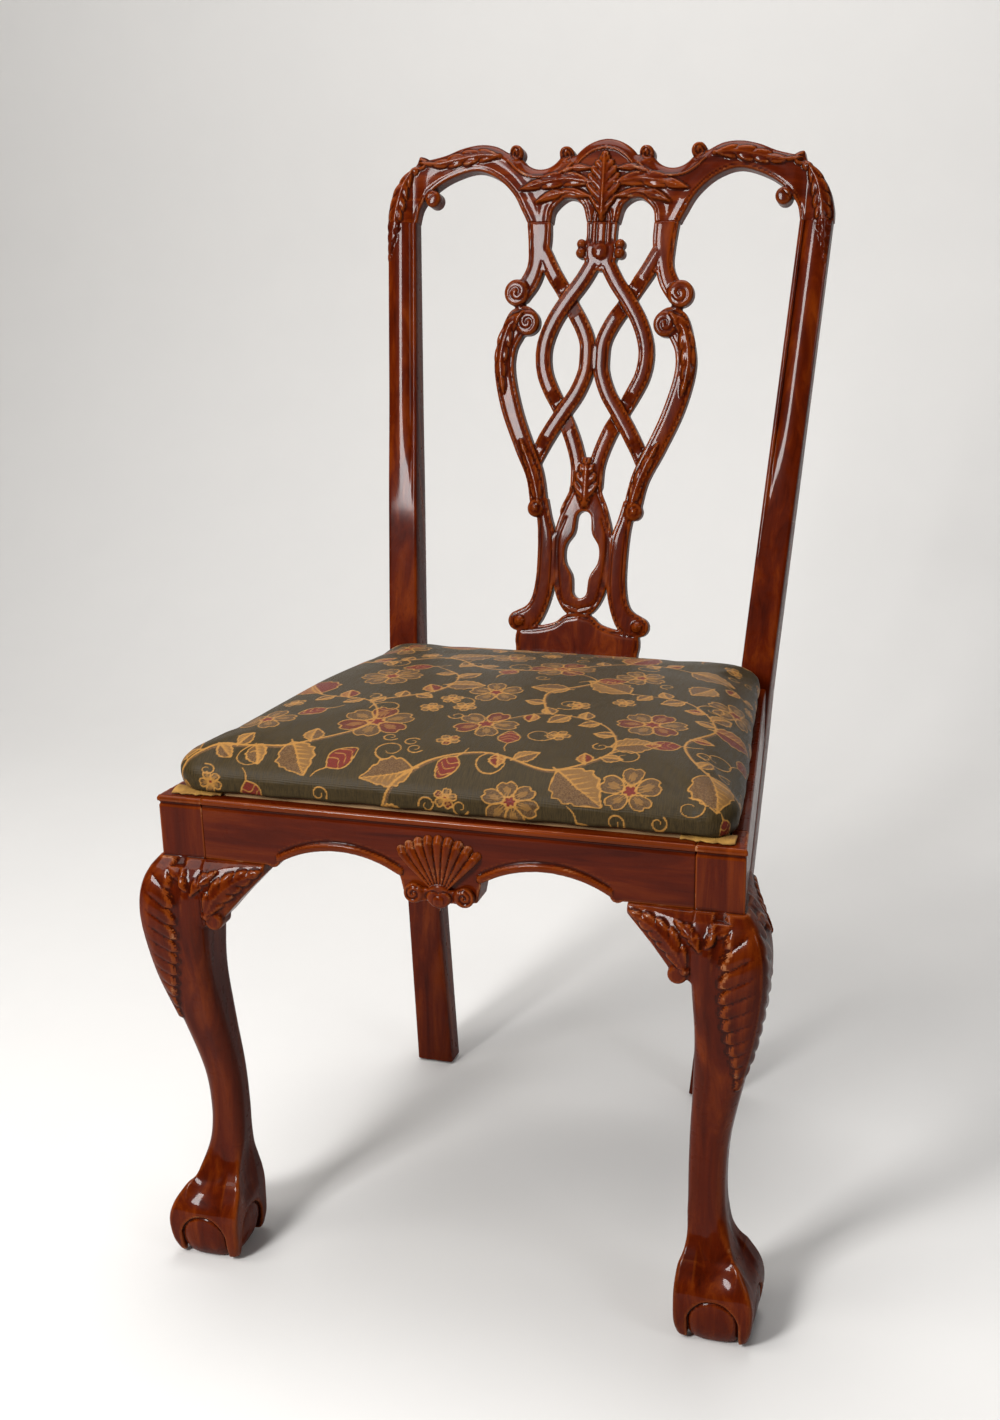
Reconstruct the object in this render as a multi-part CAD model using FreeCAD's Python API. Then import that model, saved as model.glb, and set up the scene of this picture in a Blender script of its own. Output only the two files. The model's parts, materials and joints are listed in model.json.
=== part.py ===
import FreeCAD, Part
import math
import os
from FreeCAD import Vector

# Chippendale side chair in millimetres. While it is drawn, X points to the sitter's right,
# Y points back from the front face of the front rail, and Z points up from the floor.
# At the end every piece is moved so that the origin lies under the middle of the chair.

# Overall sizes
overall_height = 1016.0
seat_height = 472.0
front_width = 528.0
seat_depth = 444.0

# Back: posts, crest and splat share one leaning plane
rear_rail_spread = 415.0
post_foot_spread = 364.0
post_top_spread = 480.0
post_width = 33.0
post_foot_width = 42.0
post_foot_depth = 27.0
post_seat_depth = 36.0
post_foot_setback = 35.0
back_rake = 15.07
post_bend_radius = 260.0
post_leg_bend_radius = 320.0
crest_rise = 83.0
crest_thickness = 22.0
splat_setback = 2.0
splat_thickness = 14.0
splat_overlap_step = 3.5
boss_height = 2.0
shoe_height = 12.0
shoe_width = 164.0
shoe_back = 26.0
ribbon_width = 16.5
crossing_radius = 15.5

# Seat rails
rail_height = 57.0
rail_thickness = 28.0
rail_lip = 14.0
rebate_depth = 12.0
rear_rail_ledge = 14.0
rear_rail_back = 26.0
rail_edge_radius = 2.0
apron_arch_rise = 16.0
apron_arch_start = 37.0
apron_arch_gap = 15.0
apron_spring_rise = 3.0
apron_drop = 20.0
apron_bead_width = 9.0
apron_bead_height = 2.5
shell_ribs = 9
shell_radius = 57.0
shell_rib_radius = 4.4
shell_spread = 70.0
shell_relief = 7.0
shell_hinge_drop = 11.0
shell_scroll_place = 23.0
shell_scroll_drop = 10.0
shell_scroll_radius = 9.0
shell_foot_radius = 11.0

# Front legs
stump = 42.0
knee_bracket_run = 57.0
knee_bracket_drop = 62.0
knee_bracket_depth = 26.0
knee_eye_radius = 8.5
knee_eye_swell = 17.5
ball_radius = 31.5
ball_centre_height = 27.0
claw_arch_radius = 23.0
claw_arch_centre = 19.0
claw_arch_depth = 8.0
foot_offset = 17.0
foot_width = 66.0
drawn_leg = 415.0
leg_facets = 3
bracket_facets = 5
cushion_facets = 4

# Joinery
tenon_length = 20.0
tenon_thickness = 9.0
tenon_height = 34.0
tenon_clearance = 0.2
back_tenon_thickness = 7.0
block_height = 38.0
block_reach = 52.0
block_gap_under_rebate = 4.0
screw_radius = 2.0
screw_head_radius = 4.5
screw_head_height = 3.0
screw_bite = 14.0
screw_clearance = 0.15
screw_seat = 11.0
screw_recess = 40.0
glide_height = 3.0
glide_radius = 10.0

# Drop-in seat
seat_clearance = 1.5
seat_rear_gap = 4.0
seat_frame_thickness = 18.0
seat_frame_width = 52.0
seat_corner_radius = 22.0
webbing_width = 50.0
webbing_thickness = 1.2
webbing_straps = 3
pad_clearance = 0.3
cover_thickness = 1.2
cover_lift = 1.6
cushion_crown = 48.0
dust_cover_thickness = 0.8
dust_cover_inset = 25.0
staple_length = 10.0
staple_wire = 0.8
staples_per_side = 6

# The back's outlines below are drawn on a chair with these heights and this half width.
drawn_seam = 933.0
drawn_shoe = 484.0
drawn_half_width = 240.0

# Worked-out places
rake = math.radians(back_rake)
seam_height = overall_height - crest_rise
front_half = front_width / 2
rear_half = rear_rail_spread / 2
taper = (front_half - rear_half) / seat_depth
taper_cos = math.cos(math.atan(taper))
rail_bottom = seat_height - rail_height
rebate_floor = seat_height - rebate_depth
stump_inner = front_half - stump
shoe_top = seat_height + shoe_height
post_slope = (post_top_spread - post_foot_spread) / 2 / seam_height
tenon_bottom = rail_bottom + (rail_height - rebate_depth - tenon_height) / 2
seat_frame_top = rebate_floor + seat_frame_thickness
webbing_top = seat_frame_top + 2 * webbing_thickness
seat_front_y = rail_lip + seat_clearance
seat_rear_y = seat_depth - seat_rear_gap


def edge(points):
    """Line through two points, arc through three, smooth curve through more."""
    if len(points) == 2:
        return Part.makeLine(points[0], points[1])
    if len(points) == 3:
        return Part.Arc(*points).toShape()
    curve = Part.BSplineCurve()
    curve.interpolate(points)
    return curve.toShape()


def slab(pieces, front, back):
    """Board in the XZ plane: outline pieces of (x, z) points, thick from front to back in Y."""
    edges = [edge([Vector(x, front, z) for x, z in points]) for points in pieces]
    return Part.Face(Part.Wire(edges)).extrude(Vector(0, back - front, 0))


def prism(corners, bottom, top):
    """Upright block over a polygon of (x, y) corners."""
    ring = [Vector(x, y, bottom) for x, y in corners]
    return Part.Face(Part.makePolygon(ring + ring[:1])).extrude(Vector(0, 0, top - bottom))


def block(low, high, grow=0.0):
    """Box between two corners, grown on every side for a mortise."""
    size = [b - a + 2 * grow for a, b in zip(low, high)]
    return Part.makeBox(*size, Vector(*low) - Vector(grow, grow, grow))


def rounded_wire(corners, place):
    """Closed wire through corners (a, b, radius) with an arc at each rounded corner."""
    bends = []
    for i, (a, b, radius) in enumerate(corners):
        here = Vector(a, b, 0)
        before = Vector(*corners[i - 1][:2], 0) - here
        after = Vector(*corners[(i + 1) % len(corners)][:2], 0) - here
        before.normalize()
        after.normalize()
        half = before.getAngle(after) / 2
        reach = radius / math.tan(half)
        inward = before + after
        inward.normalize()
        middle = here + inward * (radius / math.sin(half) - radius)
        bends.append((here + before * reach, middle, here + after * reach, radius))
    edges = []
    for i, (start, middle, end, radius) in enumerate(bends):
        if radius:
            edges.append(edge([place(start), place(middle), place(end)]))
        following = bends[(i + 1) % len(bends)][0]
        edges.append(edge([place(end), place(following)]))
    return Part.Wire(edges)


def faceted_ring(corners, facets):
    """Points round a polygon of corners (a, b, radius), each corner rounded by even facets."""
    found = []
    for i, (a, b, radius) in enumerate(corners):
        here = Vector(a, b, 0)
        before = Vector(*corners[i - 1][:2], 0) - here
        after = Vector(*corners[(i + 1) % len(corners)][:2], 0) - here
        before.normalize()
        after.normalize()
        half = before.getAngle(after) / 2
        inward = before + after
        inward.normalize()
        centre = here + inward * (radius / math.sin(half))
        start = here + before * (radius / math.tan(half)) - centre
        sweep = (math.pi - 2 * half) * (1 if before.cross(after).z < 0 else -1)
        for step in range(facets + 1):
            turn = sweep * step / facets
            x = start.x * math.cos(turn) - start.y * math.sin(turn)
            y = start.x * math.sin(turn) + start.y * math.cos(turn)
            found.append(centre + Vector(x, y, 0))
    return found


def closed_wire(points):
    """Closed wire of straight edges."""
    return Part.makePolygon(points + points[:1])


def bands(rings):
    """Flat facets between neighbouring rings of points."""
    faces = []
    for low, high in zip(rings, rings[1:]):
        for i in range(len(low)):
            j = (i + 1) % len(low)
            faces.append(Part.Face(closed_wire([low[i], low[j], high[j]])))
            faces.append(Part.Face(closed_wire([low[i], high[j], high[i]])))
    return faces


def closed_solid(faces):
    """Solid inside faces that close it, turned outwards."""
    skin = Part.makeShell(faces)
    skin.sewShape()
    solid = Part.makeSolid(skin)
    if solid.Volume < 0:
        solid.reverse()
    return solid


def mirrored(shape):
    """The same piece on the other side of the chair."""
    return shape.mirror(Vector(0, 0, 0), Vector(1, 0, 0))


def both_sides(shapes):
    """The pieces and their mirror images in one list."""
    return list(shapes) + [mirrored(shape) for shape in shapes]


def joined(shapes):
    """One solid out of overlapping solids."""
    return shapes[0].multiFuse(shapes[1:]).removeSplitter()


def lofted(rings):
    """Solid through rings of points, with flat ends."""
    ends = [Part.Face(closed_wire(ring)) for ring in (rings[0], rings[-1])]
    return closed_solid(bands(rings) + ends)


def rod(start, end, radius):
    """Round bar between two points."""
    way = end - start
    return Part.makeCylinder(radius, way.Length, start, way)


def side_x(y, inset=0.0):
    """Outer face of the right side rail at depth y, moved in square to the rail."""
    return front_half - taper * y - inset / taper_cos


def post_outer(z):
    """Outer face of the right back post at height z."""
    return post_foot_spread / 2 + post_slope * z


def up(z):
    """Distance up the leaning back for a height above the floor."""
    return (z - seat_height) / math.cos(rake)


def lean(shape):
    """Move a piece drawn upright at the seat's height into the leaning back."""
    shape.rotate(Vector(0, 0, 0), Vector(1, 0, 0), -back_rake)
    shape.translate(Vector(0, seat_depth, seat_height))
    return shape


def crest_points(points):
    """Points drawn on the crest, fitted to the back's real width and height."""
    wide = post_top_spread / 2 / drawn_half_width
    return [(x * wide, up(seam_height + z - drawn_seam)) for x, z in points]


def splat_points(points):
    """Points drawn on the splat, stretched between the shoe and the crest."""
    tall = (seam_height - shoe_top) / (drawn_seam - drawn_shoe)
    wide = post_top_spread / 2 / drawn_half_width
    return [(x * wide, up(shoe_top + (z - drawn_shoe) * tall)) for x, z in points]


def disc(centre, radius, front, back):
    """Round boss on the back, its axis square to the board."""
    x, z = centre
    return rod(Vector(x, front, z), Vector(x, back, z), radius)


def post_tenon(grow=0.0):
    """Tenon on the top of the right post, in the upright board."""
    middle = post_top_spread / 2 - 0.6 * post_width
    half = 0.21 * post_width
    depth = (crest_thickness - back_tenon_thickness) / 2
    low = (middle - half, depth, up(seam_height))
    high = (middle + half, depth + back_tenon_thickness, up(seam_height) + tenon_length)
    return block(low, high, grow)


def splat_tenons(grow=0.0):
    """Three tenons into the crest and one into the shoe, in the upright board."""
    depth = splat_setback + (splat_thickness - back_tenon_thickness) / 2
    tops = [(-8, 8), (62, 76), (-76, -62)]
    found = []
    for left, right in tops:
        (x0, z), (x1, z) = splat_points([(left, drawn_seam), (right, drawn_seam)])
        high = (x1, depth + back_tenon_thickness, z + 0.8 * tenon_length)
        found.append(block((x0, depth, z), high, grow))
    foot = up(shoe_top)
    half = 0.36 * shoe_width
    low = (-half, depth, foot - 0.6 * shoe_height)
    found.append(block(low, (half, depth + back_tenon_thickness, foot), grow))
    return found


def side_rail_tenons(grow=0.0):
    """Front and rear tenons of the right side rail."""
    top = tenon_bottom + tenon_height
    front_x = side_x(stump) - rail_thickness / 2
    rear_x = post_outer(tenon_bottom) - 0.27 * post_width
    ends = [(front_x, stump - tenon_length, stump), (rear_x, seat_depth, seat_depth + 18)]
    half = tenon_thickness / 2
    return [
        block((x - half, near, tenon_bottom), (x + half, far, top), grow)
        for x, near, far in ends
    ]


def front_rail_tenon(grow=0.0):
    """Right tenon of the front rail."""
    low = (stump_inner, 0.32 * rail_thickness, tenon_bottom)
    high = (stump_inner + tenon_length, low[1] + tenon_thickness, tenon_bottom + tenon_height)
    return block(low, high, grow)


def rear_rail_tenon(grow=0.0):
    """Right tenon of the rear rail, short because the side rail's tenon crosses behind it."""
    inner = post_outer(rail_bottom) - post_width
    low = (inner - 1, seat_depth + 8, tenon_bottom)
    high = (inner + 0.38 * post_width, low[1] + tenon_thickness, tenon_bottom + tenon_height)
    return block(low, high, grow)


def seat_pocket():
    """The space above the rebate that the drop-in seat fills, cut out of all the rails."""
    corners = [(side_x(rail_lip, rail_lip), rail_lip), (side_x(seat_depth, rail_lip), seat_depth)]
    ring = corners + [(-x, y) for x, y in reversed(corners)]
    return prism(ring, rebate_floor, seat_height + rail_height)


def back_post():
    """Right rear leg and upright in one piece, with its tenon and its mortises."""
    seam = up(seam_height)
    lift = Vector(0, math.sin(rake), math.cos(rake))
    across = Vector(0, math.cos(rake), -math.sin(rake))
    front_top = Vector(0, seat_depth, seat_height) + lift * seam
    back_top = front_top + across * crest_thickness
    foot = seat_depth - post_foot_setback
    back_bend = seat_height - post_seat_depth * math.tan(rake / 2)
    side_view = [
        (foot, glide_height, 0),
        (seat_depth, rail_bottom - 15, post_leg_bend_radius),
        (seat_depth, seat_height, post_bend_radius),
        (front_top.y, front_top.z, 0),
        (back_top.y, back_top.z, 0),
        (seat_depth + post_seat_depth, back_bend, post_bend_radius),
        (seat_depth + post_seat_depth, rail_bottom - 15, post_leg_bend_radius),
        (foot + post_foot_depth, glide_height, 0),
    ]
    profile = rounded_wire(side_view, lambda p: Vector(0, p.x, p.y))
    thick = Part.Face(profile).extrude(Vector(post_top_spread, 0, 0))
    outer = [(post_outer(z), z) for z in (0, overall_height)]
    inner = [(post_outer(z) - post_width, z) for z in (overall_height, rail_bottom)]
    ring = outer + inner + [(post_outer(0) - post_foot_width, 0)]
    front_view = slab(list(zip(ring, ring[1:] + ring[:1])), 0, 2 * seat_depth)
    post = thick.common(front_view).fuse(lean(post_tenon()))
    cuts = [side_rail_tenons(tenon_clearance)[1], rear_rail_tenon(tenon_clearance)]
    return post.cut(cuts).removeSplitter()


def crest_rail():
    """Serpentine top rail with scrolled ears, dips, and the heads of the splat's openings."""
    half = [
        [(33, 1000), (51, 997)],
        [(51, 997), (70, 986.5), (91, 996)],
        [(91, 996), (107, 1003)],
        [(107, 1003), (122, 1010), (140, 1012), (160, 1008.5), (178, 1002), (197, 997.5)],
        [(197, 997.5), (201, 999.5), (207, 1000)],
        [(207, 1000), (211, 990), (222, 979.5), (232, 962.5), (238, 944), (240, 933)],
        [(240, 933), (207, 933)],
        [(207, 933), (203, 949), (191, 964), (170, 977), (142, 984.5), (118, 977), (99, 961),
         (88, 943), (82.5, 933)],
        [(82.5, 933), (56, 933)],
        [(56, 933), (53, 946), (38, 957), (23, 950), (17, 933)],
    ]
    right = [crest_points(points) for points in half]
    left = [[(-x, z) for x, z in reversed(points)] for points in reversed(right)]
    stem = [right[-1][-1], left[0][0]]
    arch = crest_points([(-33, 1000), (0, 1016), (33, 1000)])
    board = slab([arch] + right + [stem] + left, 0, crest_thickness)
    scrolls = [((43, 1000), 8), ((98.5, 1002), 8), ((189, 957), 8.5)]
    knobs = [
        disc(crest_points([centre])[0], radius, -boss_height, crest_thickness)
        for centre, radius in scrolls
    ]
    rail = joined([board] + both_sides(knobs))
    rail = rail.cut(both_sides([post_tenon(tenon_clearance)]) + splat_tenons(tenon_clearance))
    return lean(rail)


def ribbon(points, front, back):
    """Strap of even width along a smooth line of drawn points."""
    line = Part.BSplineCurve()
    line.interpolate([Vector(x, front, z) for x, z in splat_points(points)])
    sides = ([], [])
    for x, z in splat_points(points):
        here = Vector(x, front, z)
        along = line.tangent(line.parameter(here))[0]
        square = Vector(along.z, 0, -along.x) * (ribbon_width / 2)
        sides[0].append(here + square)
        sides[1].append(here - square)
    sides[1].reverse()
    caps = [[sides[0][-1], sides[1][0]], [sides[1][-1], sides[0][0]]]
    wire = Part.Wire([edge(sides[0]), edge(caps[0]), edge(sides[1]), edge(caps[1])])
    return Part.Face(wire).extrude(Vector(0, back - front, 0))


def back_splat():
    """Pierced splat: two pairs of straps that pass over and under, scrolls, keyhole and foot."""
    front = splat_setback
    under = front + splat_overlap_step
    back = front + splat_thickness
    from_stem = [(5, 897), (33, 855), (54, 815), (53, 780), (35, 746), (15, 706), (9, 668)]
    from_arm = [(62, 902), (40, 867), (16, 830), (7.6, 798), (17, 762), (41, 726), (60, 692)]
    high_crossing = (35, 859)
    low_crossing = (35, 738)
    arm_end = (57, 699)

    def drawn(pieces):
        return [splat_points(points) for points in pieces]

    def strap(points, dips):
        """Strap with its front cut down where another passes over it."""
        face = ribbon(points, front, under)
        wells = [disc(splat_points([place])[0], crossing_radius, front - 1, under) for place in dips]
        return [face.cut(wells), ribbon(points, under, back)]

    straps = strap(from_stem, [low_crossing]) + strap(from_arm, [high_crossing, arm_end])
    arm = slab(drawn([
        [(56, 933), (82.5, 933)],
        [(82.5, 933), (79.5, 912), (79, 890), (87, 873)],
        [(87, 873), (90, 850)],
        [(90, 850), (78, 853)],
        [(78, 853), (67, 868), (61, 884), (55.5, 912), (56, 933)],
    ]), front, back)
    scroll_strap = slab(drawn([
        [(78, 849), (96, 842), (107, 812), (109.5, 785), (100, 745), (82, 704), (67, 674),
         (61, 650)],
        [(61, 650), (42, 650)],
        [(42, 650), (49, 680), (60, 705), (76, 742), (87, 780), (87, 803), (80, 818)],
        [(80, 818), (64, 826)],
        [(64, 826), (66, 841), (78, 849)],
    ]), front, back)
    stile = slab(drawn([
        [(60, 652), (52, 632), (49.3, 600), (50, 566), (56, 545), (70, 536)],
        [(70, 536), (77.5, 528), (68, 516)],
        [(68, 516), (58, 511)],
        [(58, 511), (48, 518.5)],
        [(48, 518.5), (40, 529), (33, 547), (29.5, 566), (29.5, 600), (31.5, 619), (37, 635),
         (42, 652)],
        [(42, 652), (60, 652)],
    ]), front, back)
    half_ring = [(0, 690), (11, 678), (16, 662), (25, 642), (31.5, 619), (31.5, 590), (29.5, 567),
                 (24, 550), (14, 537), (0, 533)]
    left_ring = [(-x, z) for x, z in reversed(half_ring)]
    ring = slab(drawn([half_ring, left_ring]), front, back)
    half_key = [(8, 634), (10, 619), (18, 606), (18, 590), (10, 576), (8, 562)]
    left_key = [(-x, z) for x, z in reversed(half_key)]
    keyhole = slab(drawn([
        half_key, [half_key[-1], (0, 552.5), left_key[0]], left_key,
        [left_key[-1], (0, 642), half_key[0]],
    ]), front - 1, back + 1)
    half_base = [
        [(0, 537), (15, 533), (24, 523), (40, 518), (60, 514)],
        [(60, 514), (66, 504), (70, 484)],
    ]
    left_base = [[(-x, z) for x, z in reversed(points)] for points in reversed(half_base)]
    base = slab(drawn(half_base + [[(70, 484), (-70, 484)]] + left_base), front, back)
    half_stem = [[(17, 933), (16, 918), (19, 905), (14, 889), (0, 884)]]
    left_stem = [[(-x, z) for x, z in reversed(half_stem[0])]]
    stem = slab(drawn(half_stem + left_stem + [[(-17, 933), (17, 933)]]), front, back)
    bosses = [((89, 862), 13.5), ((75, 832), 13), ((54, 643), 9), ((65, 526), 9),
              ((21, 911), 5), ((21, 902), 5.5)]
    knobs = [
        disc(splat_points([centre])[0], radius, front - boss_height, back)
        for centre, radius in bosses
    ]
    halves = both_sides(straps + [arm, scroll_strap, stile] + knobs)
    splat = joined(halves + [stem, ring, base] + splat_tenons()).cut(keyhole)
    return lean(splat.removeSplitter())


def splat_shoe():
    """Coved shoe on the rear rail with the mortise for the splat's foot."""
    front = seat_depth + 1
    back = seat_depth + shoe_back
    cove = shoe_height / 3
    section = [
        [(front, seat_height), (back, seat_height)],
        [(back, seat_height), (back, seat_height + cove)],
        [(back, seat_height + cove), (back - 3, seat_height + 2 * cove), (back - 4, shoe_top)],
        [(back - 4, shoe_top), (front + 1, shoe_top)],
        [(front + 1, shoe_top), (front, seat_height)],
    ]
    edges = [edge([Vector(-shoe_width / 2, y, z) for y, z in points]) for points in section]
    shoe = Part.Face(Part.Wire(edges)).extrude(Vector(shoe_width, 0, 0))
    room = joined(splat_foot_room())
    return shoe.cut(room)


def splat_foot_room():
    """Mortise for the splat's foot, and the sliver above the shoe that the board's lean needs."""
    foot = lean(splat_tenons(tenon_clearance)[-1])
    half = 0.45 * shoe_width
    depth = splat_setback - tenon_clearance
    low = (-half, depth, up(shoe_top))
    high = (half, depth + splat_thickness + 2 * tenon_clearance, up(shoe_top) + shoe_height)
    return [foot, lean(block(low, high))]


def side_rail():
    """Right side rail with its rebate and tenons."""
    ends = [stump, seat_depth]
    ring = [(side_x(y), y) for y in ends]
    ring += [(side_x(y, rail_thickness), y) for y in reversed(ends)]
    rail = prism(ring, rail_bottom, seat_height)
    middle = side_x((stump + seat_depth) / 2)
    outer = [
        e for e in rail.Edges
        if e.CenterOfMass.x > middle - 1 and abs(e.tangentAt(e.FirstParameter).z) < 0.5
        and abs(e.tangentAt(e.FirstParameter).y) > 0.9
    ]
    rail = rail.makeFillet(rail_edge_radius, outer)
    return rail.cut(seat_pocket()).multiFuse(side_rail_tenons())


def front_rail():
    """Front rail with its arched and beaded apron, rebate and tenons."""
    arch_start = apron_arch_start
    arch_end = stump_inner - knee_bracket_run - apron_arch_gap
    apex = (arch_start + arch_end) / 2
    spring = rail_bottom + apron_spring_rise
    drop = rail_bottom - apron_drop
    top = spring + apron_arch_rise
    half = [
        [(0, drop), (33, drop + 4)],
        [(33, drop + 4), (arch_start, spring)],
        [(arch_start, spring), (apex, top), (arch_end, spring)],
        [(arch_end, spring), (arch_end + 5, rail_bottom - 2), (arch_end + 11, rail_bottom)],
        [(arch_end + 11, rail_bottom), (stump_inner, rail_bottom)],
        [(stump_inner, rail_bottom), (stump_inner, seat_height)],
        [(stump_inner, seat_height), (0, seat_height)],
    ]
    board = slab(half + [[(0, seat_height), (0, drop)]], 0, rail_thickness)
    bead = slab([
        [(arch_start, spring), (apex, top), (arch_end, spring)],
        [(arch_end, spring), (arch_end, spring + apron_bead_width / 2)],
        [(arch_end, spring + apron_bead_width / 2), (apex, top + apron_bead_width),
         (arch_start, spring + apron_bead_width)],
        [(arch_start, spring + apron_bead_width), (arch_start, spring)],
    ], -apron_bead_height, rail_thickness / 2)
    rail = joined(both_sides([board, bead, front_rail_tenon()]))
    return rail.cut(seat_pocket())


def shell_rib(hinge, angle):
    """Tapered rib with a rounded tip, fanned out from the hinge; its axis lies just behind the face."""
    reach = shell_radius - shell_rib_radius
    root = shell_rib_radius / 3
    bulge = shell_rib_radius * math.sqrt(0.5)
    profile = Part.Wire([
        edge([Vector(0, 0, 0), Vector(0, root, 0)]),
        edge([Vector(0, root, 0), Vector(0, shell_rib_radius, reach)]),
        edge([Vector(0, shell_rib_radius, reach), Vector(0, bulge, reach + bulge),
              Vector(0, 0, shell_radius)]),
        edge([Vector(0, 0, shell_radius), Vector(0, 0, 0)]),
    ])
    rib = Part.Face(profile).revolve(Vector(0, 0, 0), Vector(0, 0, 1), 360)
    rib.rotate(Vector(0, 0, 0), Vector(0, 1, 0), angle)
    rib.translate(hinge)
    return rib


def apron_shell():
    """Scallop shell on the middle of the apron: a fan of ribs over a pair of scrolls."""
    hinge = Vector(0, shell_rib_radius / 10, rail_bottom - shell_hinge_drop)
    step = shell_spread / (shell_ribs - 1)
    ribs = [shell_rib(hinge, step * i - shell_spread / 2) for i in range(shell_ribs)]
    height = rail_bottom - shell_scroll_drop
    place = shell_scroll_place
    scroll = rod(Vector(place, 1, height), Vector(place, -shell_relief, height), shell_scroll_radius)
    foot = rod(Vector(0, 1, height), Vector(0, 1 - shell_relief, height), shell_foot_radius)
    bridge = block((-place, 2 - shell_relief, height - 6), (place, 1, height + 7))
    fan = ribs[0].multiFuse(ribs[1:])
    shell = fan.multiFuse(both_sides([scroll]) + [foot, bridge])
    keep = block((-front_half, -2 * shell_relief, 0), (front_half, 0, seat_height))
    return shell.common(keep)


def rear_rail():
    """Rear rail between the posts, with the ledge that carries the back of the seat."""
    low = post_outer(rail_bottom) - post_width
    high = post_outer(seat_height) - post_width
    ring = [(-low, rail_bottom), (low, rail_bottom), (high, seat_height), (-high, seat_height)]
    pieces = list(zip(ring, ring[1:] + ring[:1]))
    rail = slab(pieces, seat_depth - rear_rail_ledge, seat_depth + rear_rail_back)
    tenons = both_sides([rear_rail_tenon()])
    return rail.multiFuse(tenons).removeSplitter().cut(seat_pocket())


# Cabriole leg from knee to floor: height, outer faces beyond the rails, thickness, corner radius.
# The heights are for a leg of the drawn length and are stretched to the real one.
cabriole = [
    (415, 0.0, 42.0, 3), (401, 11.5, 53.5, 8), (380, 18.5, 60.5, 10), (350, 19.0, 61.0, 11),
    (300, 11.0, 50.5, 10), (245, -3.0, 40.0, 9), (190, -14.5, 31.5, 8), (145, -16.5, 29.5, 8),
    (117, -12.0, 35.0, 8), (92, 4.0, 50.0, 10), (60, 17.5, 67.0, 13), (36, 18.5, 69.0, 14),
    (0, 6.0, 44.0, 12),
]


def leg_height(z):
    """Real height of a drawn height on the leg."""
    return z * rail_bottom / drawn_leg


def front_leg():
    """Right cabriole leg with its stump, ball-and-claw foot and mortises."""
    rings = []
    for z, beyond, width, radius in cabriole:
        right = front_half + beyond
        corners = [
            (right - width, -beyond, radius), (right, -beyond, radius),
            (right, width - beyond, radius), (right - width, width - beyond, radius),
        ]
        lift = Vector(0, 0, leg_height(z))
        rings.append([p + lift for p in faceted_ring(corners, leg_facets)])
    limb = lofted(rings)
    centre_x = front_half + foot_offset - foot_width / 2
    centre_y = foot_width / 2 - foot_offset
    centre = Vector(centre_x, centre_y, claw_arch_centre)
    arches = []
    for turn in range(4):
        way = Vector(math.cos(turn * math.pi / 2), math.sin(turn * math.pi / 2), 0)
        inner = centre + way * (foot_width / 2 + 2 - claw_arch_depth)
        arches.append(rod(inner, inner + way * foot_width, claw_arch_radius))
    ball = Part.makeSphere(ball_radius, Vector(centre_x, centre_y, ball_centre_height))
    above_floor = block((0, -foot_width, 0), (front_width, 2 * foot_width, seat_height))
    foot = limb.cut(arches).fuse(ball).common(above_floor)
    ring = [(stump_inner, 0), (front_half, 0), (side_x(stump), stump), (stump_inner, stump)]
    leg = foot.fuse(prism(ring, rail_bottom, seat_height))
    low = rail_bottom - knee_bracket_drop - 4
    rooms = [
        block((0, -foot_width, low), (stump_inner, foot_width, rail_bottom)),
        block((0, stump, low), (front_width, 3 * foot_width, rail_bottom)),
        front_rail_tenon(tenon_clearance),
        side_rail_tenons(tenon_clearance)[0],
        seat_pocket(),
    ]
    return leg.cut(rooms).removeSplitter()


def knee_bracket(origin, along, out):
    """Wing from the knee to its rail: deep and swelling at the leg, thin at its tip, scrolled below."""
    def place(run, swell, z):
        spot = origin + along * run + out * swell
        return Vector(spot.x, spot.y, z)

    sections = [(0.0, 0.97, 17.5), (0.27, 0.9, 15.0), (0.6, 0.55, 8.0), (0.8, 0.34, 4.5), (1.0, 0.16, 2.0)]
    rings = []
    for share, drop_share, swell in sections:
        run = share * knee_bracket_run
        drop = drop_share * knee_bracket_drop
        bottom = rail_bottom - drop
        inner = -knee_bracket_depth * (1 - 0.25 * share)
        belly = [Vector(0.5, rail_bottom, 0), Vector(swell, rail_bottom - 0.55 * drop, 0),
                 Vector(0.8 * swell, bottom, 0)]
        face = edge(belly).discretize(bracket_facets + 1)
        ring = [(p.x, p.y) for p in face] + [(inner + 4, bottom), (inner, rail_bottom)]
        rings.append([place(run, out_by, z) for out_by, z in ring])
    wing = lofted(rings)
    eye_run = 0.19 * knee_bracket_run
    eye_height = rail_bottom - knee_bracket_drop + 8
    front = place(eye_run, knee_eye_swell, eye_height)
    eye = rod(front, place(eye_run, -8, eye_height), knee_eye_radius)
    return wing.fuse(eye).removeSplitter()


def front_knee_bracket():
    """Right bracket under the front rail."""
    return knee_bracket(Vector(stump_inner, 0, 0), Vector(-1, 0, 0), Vector(0, -1, 0))


def side_knee_bracket():
    """Right bracket under the side rail."""
    along = Vector(-taper, 1, 0) * taper_cos
    out = Vector(1, taper, 0) * taper_cos
    start = Vector(side_x(stump), stump, 0)
    bracket = knee_bracket(start, along, out)
    return bracket.cut(block((0, 0, 0), (front_width, stump, seat_height)))


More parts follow.
